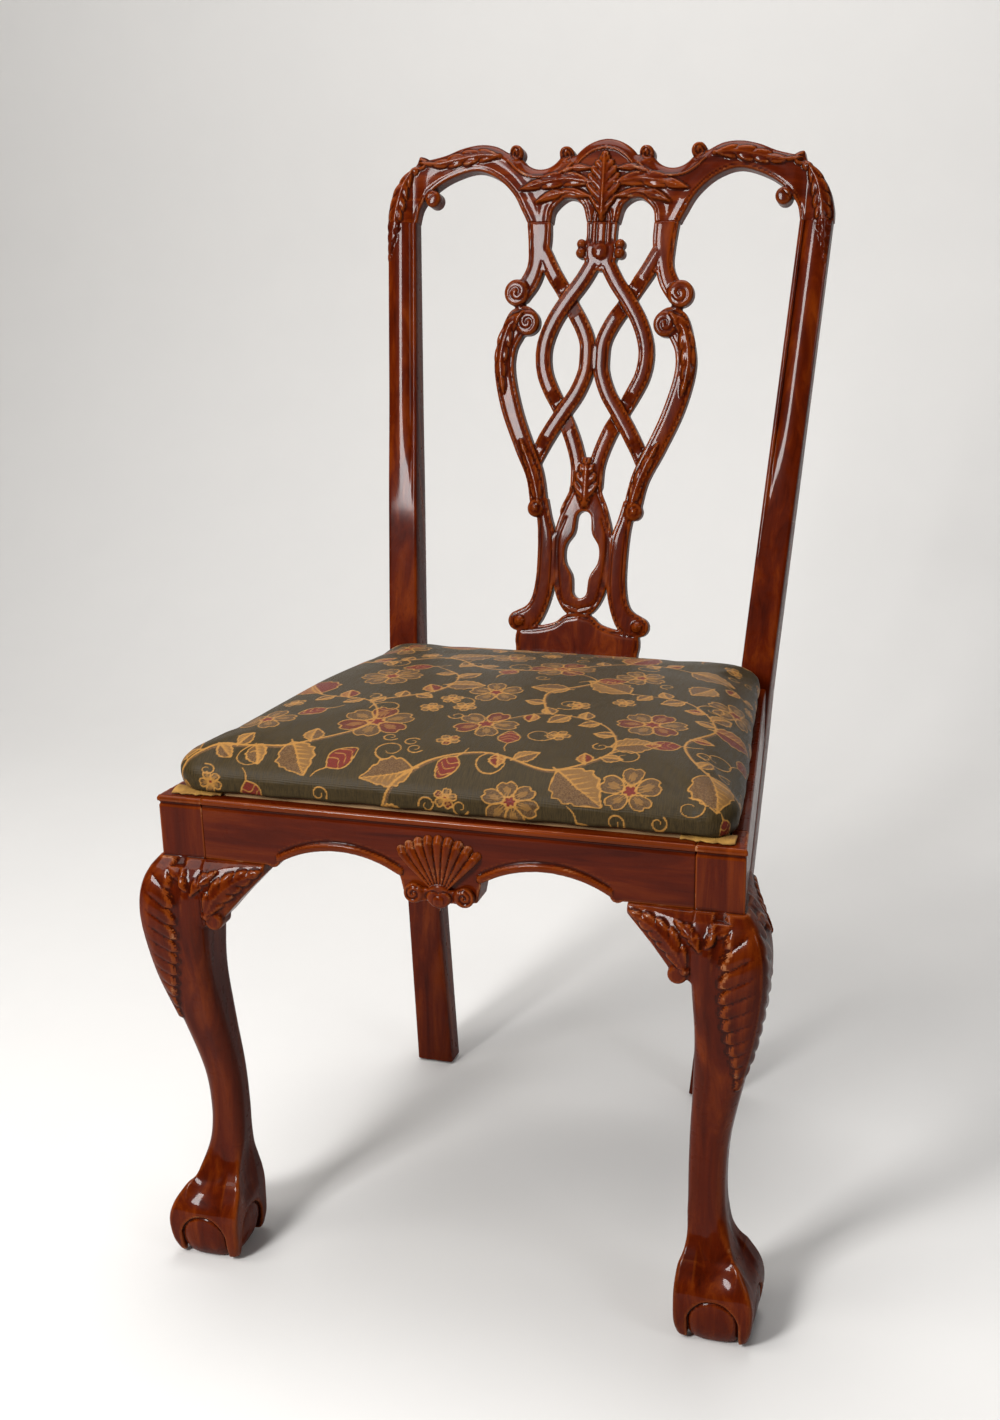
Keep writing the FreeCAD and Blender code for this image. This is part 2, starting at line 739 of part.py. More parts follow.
def block_corners(front):
    """Plan of the right corner block in front or at the rear, and its two screw lines."""
    if front:
        inner_front = rail_thickness
        near = inner_front + block_reach + 15
        plan = [
            (stump_inner - block_reach, inner_front), (stump_inner - 4, inner_front),
            (stump_inner - 4, stump + 4), (side_x(stump + 4, rail_thickness), stump + 4),
            (side_x(near, rail_thickness), near),
        ]
        screw_x = stump_inner - 0.65 * block_reach
        screw_y = inner_front + 0.72 * block_reach
        lines = [(Vector(screw_x, inner_front, 0), Vector(0, -1, 0)),
                 (Vector(side_x(screw_y, rail_thickness), screw_y, 0), Vector(1, 0, 0))]
        return plan, lines
    face = seat_depth - rear_rail_ledge
    corner = post_outer(rail_bottom) - post_width - 3
    near = face - block_reach
    plan = [
        (corner - block_reach, face), (side_x(near, rail_thickness), near),
        (side_x(face - 4, rail_thickness), face - 4), (corner, face),
    ]
    screw_x = corner - 0.62 * block_reach
    screw_y = face - 0.62 * block_reach
    lines = [(Vector(screw_x, face, 0), Vector(0, 1, 0)),
             (Vector(side_x(screw_y, rail_thickness), screw_y, 0), Vector(1, 0, 0))]
    return plan, lines


def block_screws(front):
    """Two screws of a right corner block and the holes that they need."""
    top = rebate_floor - block_gap_under_rebate
    screws = []
    holes = []
    for i, (at_rail, way) in enumerate(block_corners(front)[1]):
        rail_point = Vector(at_rail.x, at_rail.y, top - block_height * (0.36 + 0.28 * i))
        under_head = rail_point - way * screw_seat
        tip = rail_point + way * screw_bite
        shank = rod(under_head, tip, screw_radius)
        head = rod(under_head - way * screw_head_height, under_head, screw_head_radius)
        screws.append(shank.fuse(head).removeSplitter())
        bore = rod(under_head, tip + way * screw_clearance, screw_radius + screw_clearance)
        recess = rod(under_head - way * screw_recess, under_head, screw_head_radius + screw_clearance)
        holes += [bore, recess]
    return screws, holes


def corner_block(front):
    """Right glue block in front or at the rear, drilled for its screws."""
    top = rebate_floor - block_gap_under_rebate
    plan = block_corners(front)[0]
    return prism(plan, top - block_height, top).cut(block_screws(front)[1])


def foot_glide():
    """Felt pad under the right rear foot."""
    x = post_outer(0) - post_foot_width / 2
    y = seat_depth - post_foot_setback + post_foot_depth / 2
    pad = Part.makeCylinder(glide_radius, glide_height, Vector(x, y, 0))
    rim = [e for e in pad.Edges if isinstance(e.Curve, Part.Circle) and e.CenterOfMass.z < 1]
    return pad.makeChamfer(glide_height / 4, rim)


def seat_side(y, inset=0.0):
    """Right edge of the drop-in seat at depth y."""
    return side_x(y, rail_lip + seat_clearance + inset)


def seat_frame_joint(front, grow=0.0):
    """Tenon of the right seat frame rail into the front or rear one."""
    y = seat_front_y + seat_frame_width if front else seat_rear_y - seat_frame_width
    middle = seat_side(y, seat_frame_width / 2)
    reach = 15.0 if not front else -15.0
    near, far = sorted([y, y + reach])
    low = rebate_floor + seat_frame_thickness / 3
    half = seat_frame_width / 4
    return block((middle - half, near, low), (middle + half, far, low + seat_frame_thickness / 3), grow)


def seat_frame_cross(front):
    """Front or rear rail of the drop-in seat's frame, with its two outer corners rounded."""
    near, far = (seat_front_y, seat_front_y + seat_frame_width)
    if not front:
        near, far = (seat_rear_y, seat_rear_y - seat_frame_width)
    outer = [(seat_side(near), near, seat_corner_radius), (seat_side(far), far, 0)]
    ring = outer + [(-x, y, radius) for x, y, radius in reversed(outer)]
    plan = rounded_wire(ring, lambda p: Vector(p.x, p.y, rebate_floor))
    rail = Part.Face(plan).extrude(Vector(0, 0, seat_frame_thickness))
    return rail.cut(both_sides([seat_frame_joint(front, tenon_clearance)]))


def seat_frame_side():
    """Right rail of the drop-in seat's frame, tenoned into the other two."""
    ends = [seat_front_y + seat_frame_width, seat_rear_y - seat_frame_width]
    ring = [(seat_side(y), y) for y in ends]
    ring += [(seat_side(y, seat_frame_width), y) for y in reversed(ends)]
    rail = prism(ring, rebate_floor, seat_frame_top)
    return rail.multiFuse([seat_frame_joint(True), seat_frame_joint(False)]).removeSplitter()


def seat_webbing():
    """Straps from front to back on the frame, and straps from side to side on top of them."""
    straps = []
    length = seat_rear_y - seat_front_y
    pitch = 2 * seat_side(seat_rear_y) / (webbing_straps + 1)
    for i in range(webbing_straps):
        x = pitch * (i - (webbing_straps - 1) / 2)
        low = (x - webbing_width / 2, seat_front_y + 8, seat_frame_top)
        high = (x + webbing_width / 2, seat_rear_y - 8, seat_frame_top + webbing_thickness)
        straps.append(block(low, high))
    for i in range(webbing_straps):
        y = seat_front_y + length * (i + 1) / (webbing_straps + 1)
        half = seat_side(y + webbing_width / 2) - 8
        low = (-half, y - webbing_width / 2, seat_frame_top + webbing_thickness)
        straps.append(block(low, (half, y + webbing_width / 2, webbing_top)))
    return Part.makeCompound(straps)


# Cushion from its lower edge to its crown: share of the crown's rise, edge set in, corner radius,
# and how far the middle of each side draws in.
cushion_levels = [
    (0.00, -1.8, 20, 0.0), (0.14, -4.3, 22, 0.8), (0.40, -6.5, 26, 3.5), (0.55, -3.0, 28, 3.5),
    (0.67, 5.0, 31, 3.5), (0.78, 26.0, 35, 3.5), (0.90, 75.0, 37, 2.5), (1.00, 165.0, 20, 2.0),
]


def cushion_rings(skin):
    """Rings of the cushion from its lower edge to its crown, set in all round by a skin."""
    rings = []
    low = seat_height + cover_lift
    for share, inset, radius, draw in cushion_levels:
        edge_in = inset + skin
        near = seat_front_y - 1 + edge_in
        far = seat_rear_y - skin - max(inset, cushion_levels[0][1])
        corners = [
            (seat_side(near, edge_in), near), (seat_side(far, edge_in), far),
            (-seat_side(far, edge_in), far), (-seat_side(near, edge_in), near),
        ]
        rings.append(drawn_in_ring(corners, radius, draw, low + share * (cushion_crown - skin)))
    return rings


def dome(rings):
    """Faces of a cushion over its rings, closed at the crown and open below."""
    return bands(rings) + [Part.Face(closed_wire(rings[-1]))]


def drawn_in_ring(corners, radius, draw, z):
    """Rounded quadrilateral whose sides draw in towards their middle."""
    centre = Vector(0, sum(y for x, y in corners) / len(corners), 0)
    lift = Vector(0, 0, z)
    bends = faceted_ring([(x, y, radius) for x, y in corners], cushion_facets)
    count = cushion_facets + 1
    points = []
    for i in range(len(corners)):
        bend = bends[i * count:(i + 1) * count]
        following = bends[((i + 1) * count) % len(bends)]
        halfway = (bend[-1] + following) * 0.5
        pull = centre - halfway
        pull.normalize()
        points += bend + [halfway + pull * draw]
    return [p + lift for p in points]


def seat_cover():
    """Fabric cover over the pad, open below where it is drawn under the frame."""
    outside = cushion_rings(0.0)
    inside = cushion_rings(cover_thickness)
    hems = bands([outside[0], inside[0]])
    return closed_solid(dome(outside) + dome(inside) + hems)


def seat_pad():
    """Foam pad under the cover, resting on the webbing."""
    form = lofted(cushion_rings(cover_thickness + pad_clearance))
    low = (-front_width, -stump, webbing_top + pad_clearance)
    return form.common(block(low, (front_width, 2 * seat_depth, overall_height)))


def dust_cover_ring():
    """Corners of the dust cover, well inside the frame's edge."""
    near = seat_front_y + dust_cover_inset
    far = seat_rear_y - dust_cover_inset
    ring = [(seat_side(near, dust_cover_inset), near), (seat_side(far, dust_cover_inset), far)]
    return ring + [(-x, y) for x, y in reversed(ring)]


def seat_dust_cover():
    """Thin cloth under the seat's frame."""
    return prism(dust_cover_ring(), rebate_floor - dust_cover_thickness, rebate_floor)


def dust_cover_staples():
    """Staples along the four sides of the dust cover."""
    ring = dust_cover_ring()
    top = rebate_floor - dust_cover_thickness
    found = []
    for start, end in zip(ring, ring[1:] + ring[:1]):
        a = Vector(*start, 0)
        way = Vector(*end, 0) - a
        inward = Vector(-way.y, way.x, 0)
        inward.normalize()
        turn = math.degrees(math.atan2(way.y, way.x))
        for i in range(staples_per_side):
            spot = a + way * ((i + 0.5) / staples_per_side) + inward * 8
            low = (-staple_length / 2, -staple_wire / 2, top - staple_wire)
            bar = block(low, (staple_length / 2, staple_wire / 2, top))
            bar.rotate(Vector(0, 0, 0), Vector(0, 0, 1), turn)
            bar.translate(spot)
            found.append(bar)
    return Part.makeCompound(found)


def build():
    """All pieces by name, in the drawn position."""
    front_screws, front_holes = block_screws(True)
    rear_screws, rear_holes = block_screws(False)
    nodes = {
        "crest_rail": crest_rail(),
        "back_splat": back_splat(),
        "splat_shoe": splat_shoe(),
        "front_seat_rail": front_rail().cut(both_sides(front_holes)),
        "rear_seat_rail": rear_rail().cut(both_sides(rear_holes)),
        "apron_shell": apron_shell(),
        "corner_block_screws": Part.makeCompound(both_sides(front_screws + rear_screws)),
        "rear_foot_glides": Part.makeCompound(both_sides([foot_glide()])),
        "seat_frame_front_rail": seat_frame_cross(True),
        "seat_frame_rear_rail": seat_frame_cross(False),
        "seat_webbing": seat_webbing(),
        "seat_pad": seat_pad(),
        "seat_cover": seat_cover(),
        "seat_dust_cover": seat_dust_cover(),
        "dust_cover_staples": dust_cover_staples(),
    }
    paired = {
        "{}_back_post": back_post(),
        "{}_seat_rail": side_rail().cut(front_holes + rear_holes),
        "{}_front_leg": front_leg(),
        "{}_front_knee_bracket": front_knee_bracket(),
        "{}_side_knee_bracket": side_knee_bracket(),
        "front_{}_corner_block": corner_block(True),
        "rear_{}_corner_block": corner_block(False),
        "seat_frame_{}_rail": seat_frame_side(),
    }
    for name, shape in paired.items():
        nodes[name.format("right")] = shape
        nodes[name.format("left")] = mirrored(shape)
    return nodes


def main():
    """Build the chair, put its origin under its middle and write one file for each piece."""
    os.makedirs("parts", exist_ok=True)
    nodes = build()
    whole = Part.makeCompound(list(nodes.values())).optimalBoundingBox()
    shift = Vector(0, -(whole.YMin + whole.YMax) / 2, 0)
    for name, shape in sorted(nodes.items()):
        shape.translate(shift)
        shape.exportStep(f"parts/{name}.step")
        print(f"{name}: valid {shape.isValid()}, solids {len(shape.Solids)}, {shape.Volume:.0f} mm3")
    print(f"moved by {shift.y:.3f} in Y")
    print(f"size {whole.XLength:.1f} x {whole.YLength:.1f} x {whole.ZLength:.1f}")


main()
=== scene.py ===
import json
import logging
import math
from contextlib import contextmanager
from dataclasses import dataclass
from enum import Enum
from functools import reduce
from typing import Callable, Iterator, Sequence

import bpy
import numpy as np
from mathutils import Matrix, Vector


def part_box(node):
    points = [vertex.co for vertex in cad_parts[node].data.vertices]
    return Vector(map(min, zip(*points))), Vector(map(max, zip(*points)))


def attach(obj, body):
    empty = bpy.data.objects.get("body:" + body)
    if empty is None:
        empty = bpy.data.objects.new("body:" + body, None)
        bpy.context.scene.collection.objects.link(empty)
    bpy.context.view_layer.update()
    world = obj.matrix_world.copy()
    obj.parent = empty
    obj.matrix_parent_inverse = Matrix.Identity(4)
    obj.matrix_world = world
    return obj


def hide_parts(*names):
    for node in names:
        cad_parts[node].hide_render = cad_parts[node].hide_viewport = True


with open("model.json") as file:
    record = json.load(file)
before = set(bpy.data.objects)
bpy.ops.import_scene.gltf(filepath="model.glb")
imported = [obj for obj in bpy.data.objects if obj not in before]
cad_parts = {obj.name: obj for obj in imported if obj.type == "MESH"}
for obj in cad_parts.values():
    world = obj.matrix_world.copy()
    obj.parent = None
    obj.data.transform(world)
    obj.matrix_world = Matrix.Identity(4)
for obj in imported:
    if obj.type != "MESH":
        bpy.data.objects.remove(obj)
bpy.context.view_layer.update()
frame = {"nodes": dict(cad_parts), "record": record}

import openvdb
from mathutils import Matrix, Vector

MM = 0.001
log = logging.getLogger("chair")

Point = tuple[float, float]
Spot = tuple[float, float, float]
Line = Sequence[Point]
Array = np.ndarray
Place = Callable[[Array], Array]
Piece, Finish, Socket = bpy.types.Object, bpy.types.Material, bpy.types.NodeSocket


class Body(Enum):
    """The two bodies of the chair that pieces ride on."""

    FRAME = "chair_frame"
    SEAT = "slip_seat"


class Side(Enum):
    """Sides of the chair as the sitter has them, with the sign of X."""

    RIGHT = 1
    LEFT = -1

    @property
    def word(self) -> str:
        """The side as it stands in a piece's name."""
        return self.name.lower()


@dataclass(frozen=True)
class ChairSizes:
    """Sizes of the chair in millimetres, as drawn from the front rail's front face.

    taper is a slope, rake an angle in radians, and post_bead a share of the post's width.
    """

    seat_height: float = 472.0
    front_half: float = 264.0
    seat_depth: float = 444.0
    rail_bottom: float = 415.0
    rebate_floor: float = 460.0
    rail_half: float = 222.0
    lip: float = 14.0
    bead_height: float = 468.6
    quirk_height: float = 464.6
    board_seam: float = 933.0
    seam_lap: float = 0.2
    post_bead: float = 0.16
    post_crown: float = 3.6
    taper: float = 0.12725
    rake: float = math.radians(15.07)
    foot_centre_y: float = 16.0

    def shift(self) -> float:
        """Y of the front rail's front face in the row frame, from the front foot's mount.

        Returns:
            The shift in millimetres.
        """
        for mount in frame["record"]["mounts"]:
            if mount["name"] == "front_left_foot":
                return mount["pos_m"][1] / MM - self.foot_centre_y
        return 0.0

    def side_x(self, y: float | Array, inset: float = 0.0) -> float | Array:
        """Outer face of the right side rail at depth y, moved in square to the rail."""
        return self.front_half - self.taper * y - inset * math.hypot(1, self.taper)


SIZES = ChairSizes()
SHIFT = SIZES.shift()


def upright(points: Array) -> Array:
    """Drawn millimetres to the row frame in metres."""
    return (points + np.array([0.0, SHIFT, 0.0])) * MM


def leaning(points: Array) -> Array:
    """A point (x, depth, height) on the leaning back to the row frame in metres."""
    along = (points[:, 2] - SIZES.seat_height) / math.cos(SIZES.rake)
    depth = points[:, 1]
    y = SIZES.seat_depth + along * math.sin(SIZES.rake) + depth * math.cos(SIZES.rake)
    z = SIZES.seat_height + along * math.cos(SIZES.rake) - depth * math.sin(SIZES.rake)
    return upright(np.stack([points[:, 0], y, z], axis=1))


def smooth_line(points: Line, per_span: int = 8) -> Array:
    """Points along a smooth curve through the given points.

    Args:
        points: The points that the curve passes.
        per_span: How many steps each span gets.

    Returns:
        The curve's points, one row each.
    """
    given = np.array(points, dtype=float)
    if len(given) < 3:
        share = np.linspace(0, 1, per_span + 1)[:, None]
        return given[0] + (given[-1] - given[0]) * share
    padded = np.vstack([2 * given[0] - given[1], given, 2 * given[-1] - given[-2]])
    share = np.linspace(0, 1, per_span, endpoint=False)[:, None]
    found = []
    for a, b, c, d in zip(padded, padded[1:], padded[2:], padded[3:]):
        bend = 2 * a - 5 * b + 4 * c - d
        twist = -a + 3 * b - 3 * c + d
        found.append(0.5 * (2 * b + (c - a) * share + bend * share**2 + twist * share**3))
    return np.vstack(found + [given[-1:]])


def arc_line(start: Point, middle: Point, end: Point, steps: int = 16) -> Array:
    """Points along the circle's arc through three points."""
    (ax, ay), (bx, by), (cx, cy) = start, middle, end
    d = 2 * (ax * (by - cy) + bx * (cy - ay) + cx * (ay - by))
    a2, b2, c2 = ax * ax + ay * ay, bx * bx + by * by, cx * cx + cy * cy
    ux = (a2 * (by - cy) + b2 * (cy - ay) + c2 * (ay - by)) / d
    uy = (a2 * (cx - bx) + b2 * (ax - cx) + c2 * (bx - ax)) / d
    angles = np.unwrap([math.atan2(y - uy, x - ux) for x, y in (start, middle, end)])
    turn = np.linspace(angles[0], angles[2], steps + 1)
    radius = math.hypot(ax - ux, ay - uy)
    return np.stack([ux + radius * np.cos(turn), uy + radius * np.sin(turn)], axis=1)


def outline(pieces: Sequence[Line]) -> Array:
    """One line through outline pieces: two points a line, three an arc, more a smooth curve."""
    found = []
    for points in pieces:
        run = arc_line(*points) if len(points) == 3 else smooth_line(points)
        found.append(run[:-1])
    return np.vstack(found + [np.array(pieces[-1][-1:], dtype=float)])


def flipped(points: Line) -> list[Point]:
    """The same points on the other side of the middle, in the other order."""
    return [(-x, z) for x, z in reversed(points)]


def line_distance(a: Array, b: Array, line: Array) -> tuple[Array, Array]:
    """Distance from points (a, b) to a line, and the place along it.

    Args:
        a: First coordinates.
        b: Second coordinates, of a shape that fits the first.
        line: The line's points.

    Returns:
        The distance, and the place along the line from 0 to 1.
    """
    shape = np.broadcast_shapes(a.shape, b.shape)
    best = np.full(shape, np.inf, dtype=np.float32)
    where = np.zeros(shape, dtype=np.float32)
    lengths = np.hypot(*np.diff(line, axis=0).T)
    starts = np.concatenate([[0], np.cumsum(lengths)])
    for (x0, y0), (x1, y1), length, start in zip(line, line[1:], lengths, starts):
        if length == 0:
            continue
        dx, dy = (x1 - x0) / length, (y1 - y0) / length
        along = np.clip((a - x0) * dx + (b - y0) * dy, 0, length)
        gap = (a - x0 - along * dx) ** 2 + (b - y0 - along * dy) ** 2
        nearer = gap < best
        best = np.where(nearer, gap, best)
        where = np.where(nearer, (start + along) / starts[-1], where)
    return np.sqrt(best), where


def inside(a: Array, b: Array, ring: Array) -> Array:
    """Whether points lie inside a closed ring."""
    found = np.zeros(np.broadcast_shapes(a.shape, b.shape), dtype=bool)
    for (x0, y0), (x1, y1) in zip(ring, np.roll(ring, -1, axis=0)):
        if y0 == y1:
            continue
        crossing = (b > min(y0, y1)) & (b <= max(y0, y1))
        found ^= crossing & (a < x0 + (b - y0) * (x1 - x0) / (y1 - y0))
    return found


def line_gap(a: Array, b: Array, line: Array) -> Array:
    """Distance from points (a, b) to a line."""
    return line_distance(a, b, line)[0]


def ring_distance(a: Array, b: Array, ring: Array) -> Array:
    """Signed distance to a closed ring, negative inside it."""
    gap = line_gap(a, b, np.vstack([ring, ring[:1]]))
    return np.where(inside(a, b, ring), -gap, gap)


def front_view(measure: Callable, x: Array, z: Array, *given: Array) -> Array:
    """A measure taken in a block's front view, for every depth of its grid."""
    return measure(x[:, 0], z[0], *given)[:, None, :]


def along_line(where: Array, values: Sequence[float]) -> Array:
    """Values given at even places along a line, read at other places from 0 to 1."""
    return np.interp(where, np.linspace(0, 1, len(values)), values)


def most(*shapes: Array) -> Array:
    """The greatest of several distances, which is what the shapes have in common."""
    return reduce(np.maximum, shapes)


def ease(low: float, high: float, value: Array) -> Array:
    """Smooth step from 0 at low to 1 at high."""
    share = np.clip((value - low) / (high - low), 0, 1)
    return share * share * (3 - 2 * share)


def soft_min(a: Array, b: Array, blend: float) -> Array:
    """The lesser of two distances, with a rounded hollow where they meet."""
    if blend <= 0:
        return np.minimum(a, b)
    share = np.clip(0.5 + 0.5 * (b - a) / blend, 0, 1)
    return b + (a - b) * share - blend * share * (1 - share)


def rounded_slab(flat: Array, deep: Array, radius: float) -> Array:
    """Distance to a board with rounded edges, from its distances in plan and in thickness."""
    q, r = flat + radius, deep + radius
    outer = np.sqrt(np.maximum(q, 0) ** 2 + np.maximum(r, 0) ** 2)
    return outer + np.minimum(np.maximum(q, r), 0) - radius


class Relief:
    """A map of carving heights over a flat field, in millimetres."""

    def __init__(self, low: Point, high: Point, step: float = 0.5) -> None:
        """An empty map between two corners."""
        self.low, self.step = np.array(low, dtype=float), step
        counts = np.ceil((np.array(high) - self.low) / step).astype(int) + 1
        self.height = np.zeros(counts, dtype=np.float32)
        self.axes = [self.low[i] + step * np.arange(counts[i]) for i in (0, 1)]

    def window(self, points: Array, margin: float) -> tuple:
        """The part of the map round some points: its slices and its coordinates."""
        first = np.floor((points.min(axis=0) - margin - self.low) / self.step).astype(int)
        last = np.ceil((points.max(axis=0) + margin - self.low) / self.step).astype(int) + 1
        cut = tuple(slice(max(0, f), max(0, e)) for f, e in zip(first, last))
        return cut, self.axes[0][cut[0]][:, None], self.axes[1][cut[1]][None, :]

    def raise_to(self, cut: tuple, height: Array) -> None:
        """Raise a part of the map to new heights where it lies lower."""
        self.height[cut] = np.maximum(self.height[cut], height)

    def ridge(self, points: Line, width: Sequence[float], height: Sequence[float]) -> None:
        """Rounded ridge along a curve; it stands up from what was there.

        Args:
            points: Points that the curve passes.
            width: Full widths at even places along it.
            height: Heights at even places along it.
        """
        line = smooth_line(points)
        cut, a, b = self.window(line, max(width))
        gap, where = line_distance(a, b, line)
        half = np.maximum(along_line(where, width) / 2, 0.05)
        share = np.clip(1 - (gap / half) ** 2, 0, 1)
        self.raise_to(cut, along_line(where, height) * np.sqrt(share))

    def groove(self, points: Line, width: float, depth: float) -> None:
        """Soft groove along a curve."""
        line = smooth_line(points)
        cut, a, b = self.window(line, 2 * width)
        self.height[cut] -= depth * np.exp(-((1.7 * line_gap(a, b, line) / width) ** 2))

    def volute(self, centre: Point, radius: float, turns: float, start: float, width: float,
               depth: float) -> None:
        """Spiral groove that winds in from the rim to the middle.

        Args:
            centre: Middle of the spiral.
            radius: Radius at its outer end.
            turns: Number of turns, negative for clockwise.
            start: Angle of its outer end in degrees.
            width: Groove's width.
            depth: Groove's depth.
        """
        share = np.linspace(0, 1, int(14 * abs(turns)) + 2)
        angle = math.radians(start) + share * turns * 2 * math.pi
        reach = radius * (1 - 0.82 * share)
        spiral = [(centre[0] + r * math.cos(t), centre[1] + r * math.sin(t))
                  for r, t in zip(reach, angle)]
        self.groove(spiral, width, depth)

    def dome(self, centre: Point, radius: float, height: float) -> None:
        """Round button."""
        cut, a, b = self.window(np.array([centre]), radius + 1)
        gap = np.hypot(a - centre[0], b - centre[1]) / radius
        self.raise_to(cut, height * np.sqrt(np.clip(1 - gap**2, 0, 1)))

    def acanthus(self, spine: Line, widths: Sequence[float], lobes: int, rise: float,
                 sweep: float = 1.0, notch: float = 0.3) -> None:
        """Leaf with a scalloped edge, whose lobes sweep from its spine towards its tip.

        Args:
            spine: Points along the leaf from its root to its tip.
            widths: Half widths at even places along it.
            lobes: Lobes on each side.
            rise: Height of the carving.
            sweep: How far a lobe runs ahead of its root, as a share of its reach.
            notch: Depth of the notches between lobes, as a share of the width.
        """
        line = smooth_line(spine)
        cut, a, b = self.window(line, max(widths) + 2)
        gap, where = line_distance(a, b, line)
        length = float(np.sum(np.hypot(*np.diff(line, axis=0).T)))
        half = np.maximum(along_line(where, widths), 0.3)
        lobe = np.sqrt(np.abs(np.sin(math.pi * lobes * (where - sweep * gap / length))))
        body = ease(0.0, 1.0, (half * (1 - notch * (1 - lobe)) - gap) / 2.4)
        valley = 0.6 * (1 - lobe) * ease(0.10, 0.5, gap / half)
        vein = 0.2 * np.exp(-((gap / 1.4) ** 2))
        self.raise_to(cut, rise * body * (1 - valley + vein))

    def at(self, a: Array, b: Array) -> Array:
        """Heights at any places, 0 outside the map."""
        u, v = (a - self.low[0]) / self.step, (b - self.low[1]) / self.step
        rows, columns = self.height.shape
        known = (u >= 0) & (v >= 0) & (u <= rows - 1) & (v <= columns - 1)
        i = np.clip(np.floor(u).astype(int), 0, rows - 2)
        j = np.clip(np.floor(v).astype(int), 0, columns - 2)
        p, q = np.clip(u - i, 0, 1), np.clip(v - j, 0, 1)
        low = self.height[i, j] * (1 - p) + self.height[i + 1, j] * p
        high = self.height[i, j + 1] * (1 - p) + self.height[i + 1, j + 1] * p
        return np.where(known, low * (1 - q) + high * q, 0)


class Blank:
    """A block of wood as a grid of distances to its surface, carved and then made a mesh.

    FAR is the distance of an empty place, and RIM that of the rim which closes the shape.
    """

    FAR = 20.0
    RIM = 5.0

    def __init__(self, low: Spot, high: Spot, step: float) -> None:
        """An empty block between two corners, in millimetres."""
        self.low, self.step = np.array(low, dtype=float), step
        counts = np.ceil((np.array(high) - self.low) / step).astype(int) + 1
        self.gap = np.full(counts, self.FAR, dtype=np.float32)
        self.axes = [self.low[k] + step * np.arange(counts[k]) for k in range(3)]

    def window(self, low: Spot, high: Spot) -> tuple:
        """The part of the grid between two corners: its slices and its three coordinates."""
        cut = []
        for k in range(3):
            first = int(np.searchsorted(self.axes[k], low[k]))
            cut.append(slice(max(0, first), int(np.searchsorted(self.axes[k], high[k])) + 1))
        x = self.axes[0][cut[0]][:, None, None]
        y = self.axes[1][cut[1]][None, :, None]
        z = self.axes[2][cut[2]][None, None, :]
        return tuple(cut), x, y, z

    def everywhere(self) -> tuple:
        """The whole grid's coordinates."""
        return self.window(tuple(self.low), tuple(a[-1] for a in self.axes))[1:]

    def join(self, cut: tuple, shape: Array, blend: float = 0.0) -> None:
        """Add a shape to the block."""
        self.gap[cut] = soft_min(self.gap[cut], shape, blend)

    def remove(self, cut: tuple, shape: Array, blend: float = 0.0) -> None:
        """Cut a shape out of the block."""
        self.gap[cut] = -soft_min(-self.gap[cut], shape, blend)

    def rod(self, start: Spot, end: Spot, radii: Point, blend: float = 0.0) -> None:
        """Add a round bar, thicker at one end if its radii differ."""
        a, b = np.array(start, dtype=float), np.array(end, dtype=float)
        margin = max(radii) + blend + 2 * self.step
        low, high = np.minimum(a, b) - margin, np.maximum(a, b) + margin
        cut, x, y, z = self.window(tuple(low), tuple(high))
        way = b - a
        u, v, w = x - a[0], y - a[1], z - a[2]
        share = (u * way[0] + v * way[1] + w * way[2]) / max(way @ way, 1e-9)
        share = np.clip(share, 0, 1)
        off = np.sqrt((u - share * way[0]) ** 2 + (v - share * way[1]) ** 2
                      + (w - share * way[2]) ** 2)
        self.join(cut, off - (radii[0] + (radii[1] - radii[0]) * share), blend)

    def fold(self) -> None:
        """Make the half on the right of X = 0 whole, by mirroring it to the left."""
        first = int(np.searchsorted(self.axes[0], -1e-6))
        right = self.gap[first:]
        self.gap = np.concatenate([right[:0:-1], right])
        self.low[0] = -(len(right) - 1) * self.step
        self.axes[0] = self.low[0] + self.step * np.arange(len(self.gap))

    def curvature(self, spots: Array, gap: Array) -> Array:
        """How hollow (above 0) or proud (below 0) a surface is at grid places."""
        soft = gap
        for axis in (0, 1, 2, 0, 1, 2):
            soft = (np.roll(soft, 1, axis) + 2 * soft + np.roll(soft, -1, axis)) / 4
        change = soft - gap
        cell = [np.clip(np.rint(spots[:, k]).astype(int), 1, gap.shape[k] - 2)
                for k in range(3)]
        return -change[tuple(cell)] / self.step

    def mesh(self, name: str, place: Place, wear_and_shade: Array | None = None) -> Piece:
        """The carved surface as a smooth mesh object.

        Args:
            name: The piece's name.
            place: Turns block coordinates into the row frame.
            wear_and_shade: The block before it was parted, for its edge wear, painted highlight and
                painted shade.

        Returns:
            The object, with its place in its mesh.
        """
        edge = np.pad(self.gap, 1, constant_values=self.RIM)
        grid = openvdb.FloatGrid(self.FAR)
        grid.copyFromArray(np.ascontiguousarray(edge / self.step))
        points, quads = grid.convertToQuads(0.0)
        cells = np.array(points, dtype=float) - 1
        obj = mesh_object(name, place(cells * self.step + self.low), np.array(quads)[:, ::-1])
        # Curvature of the unparted block: hollows get painted shade, proud edges a colour that is
        # partly rubbed wear and partly painted highlight.
        bend = 2 * self.curvature(cells, self.gap if wear_and_shade is None else wear_and_shade)
        carry(obj, hollow=bend, proud=-bend)
        return obj


def mesh_object(name: str, spots: Array, faces: Array) -> Piece:
    """A smooth mesh object from its corners and its faces, all with the same corner count."""
    mesh = bpy.data.meshes.new(name)
    mesh.from_pydata(spots.tolist(), [], faces.tolist())
    mesh.update()
    obj = bpy.data.objects.new(name, mesh)
    bpy.context.scene.collection.objects.link(obj)
    volume = sum(f.center.dot(f.normal) * f.area for f in mesh.polygons)
    if volume < 0:
        mesh.flip_normals()
    mesh.shade_smooth()
    return obj


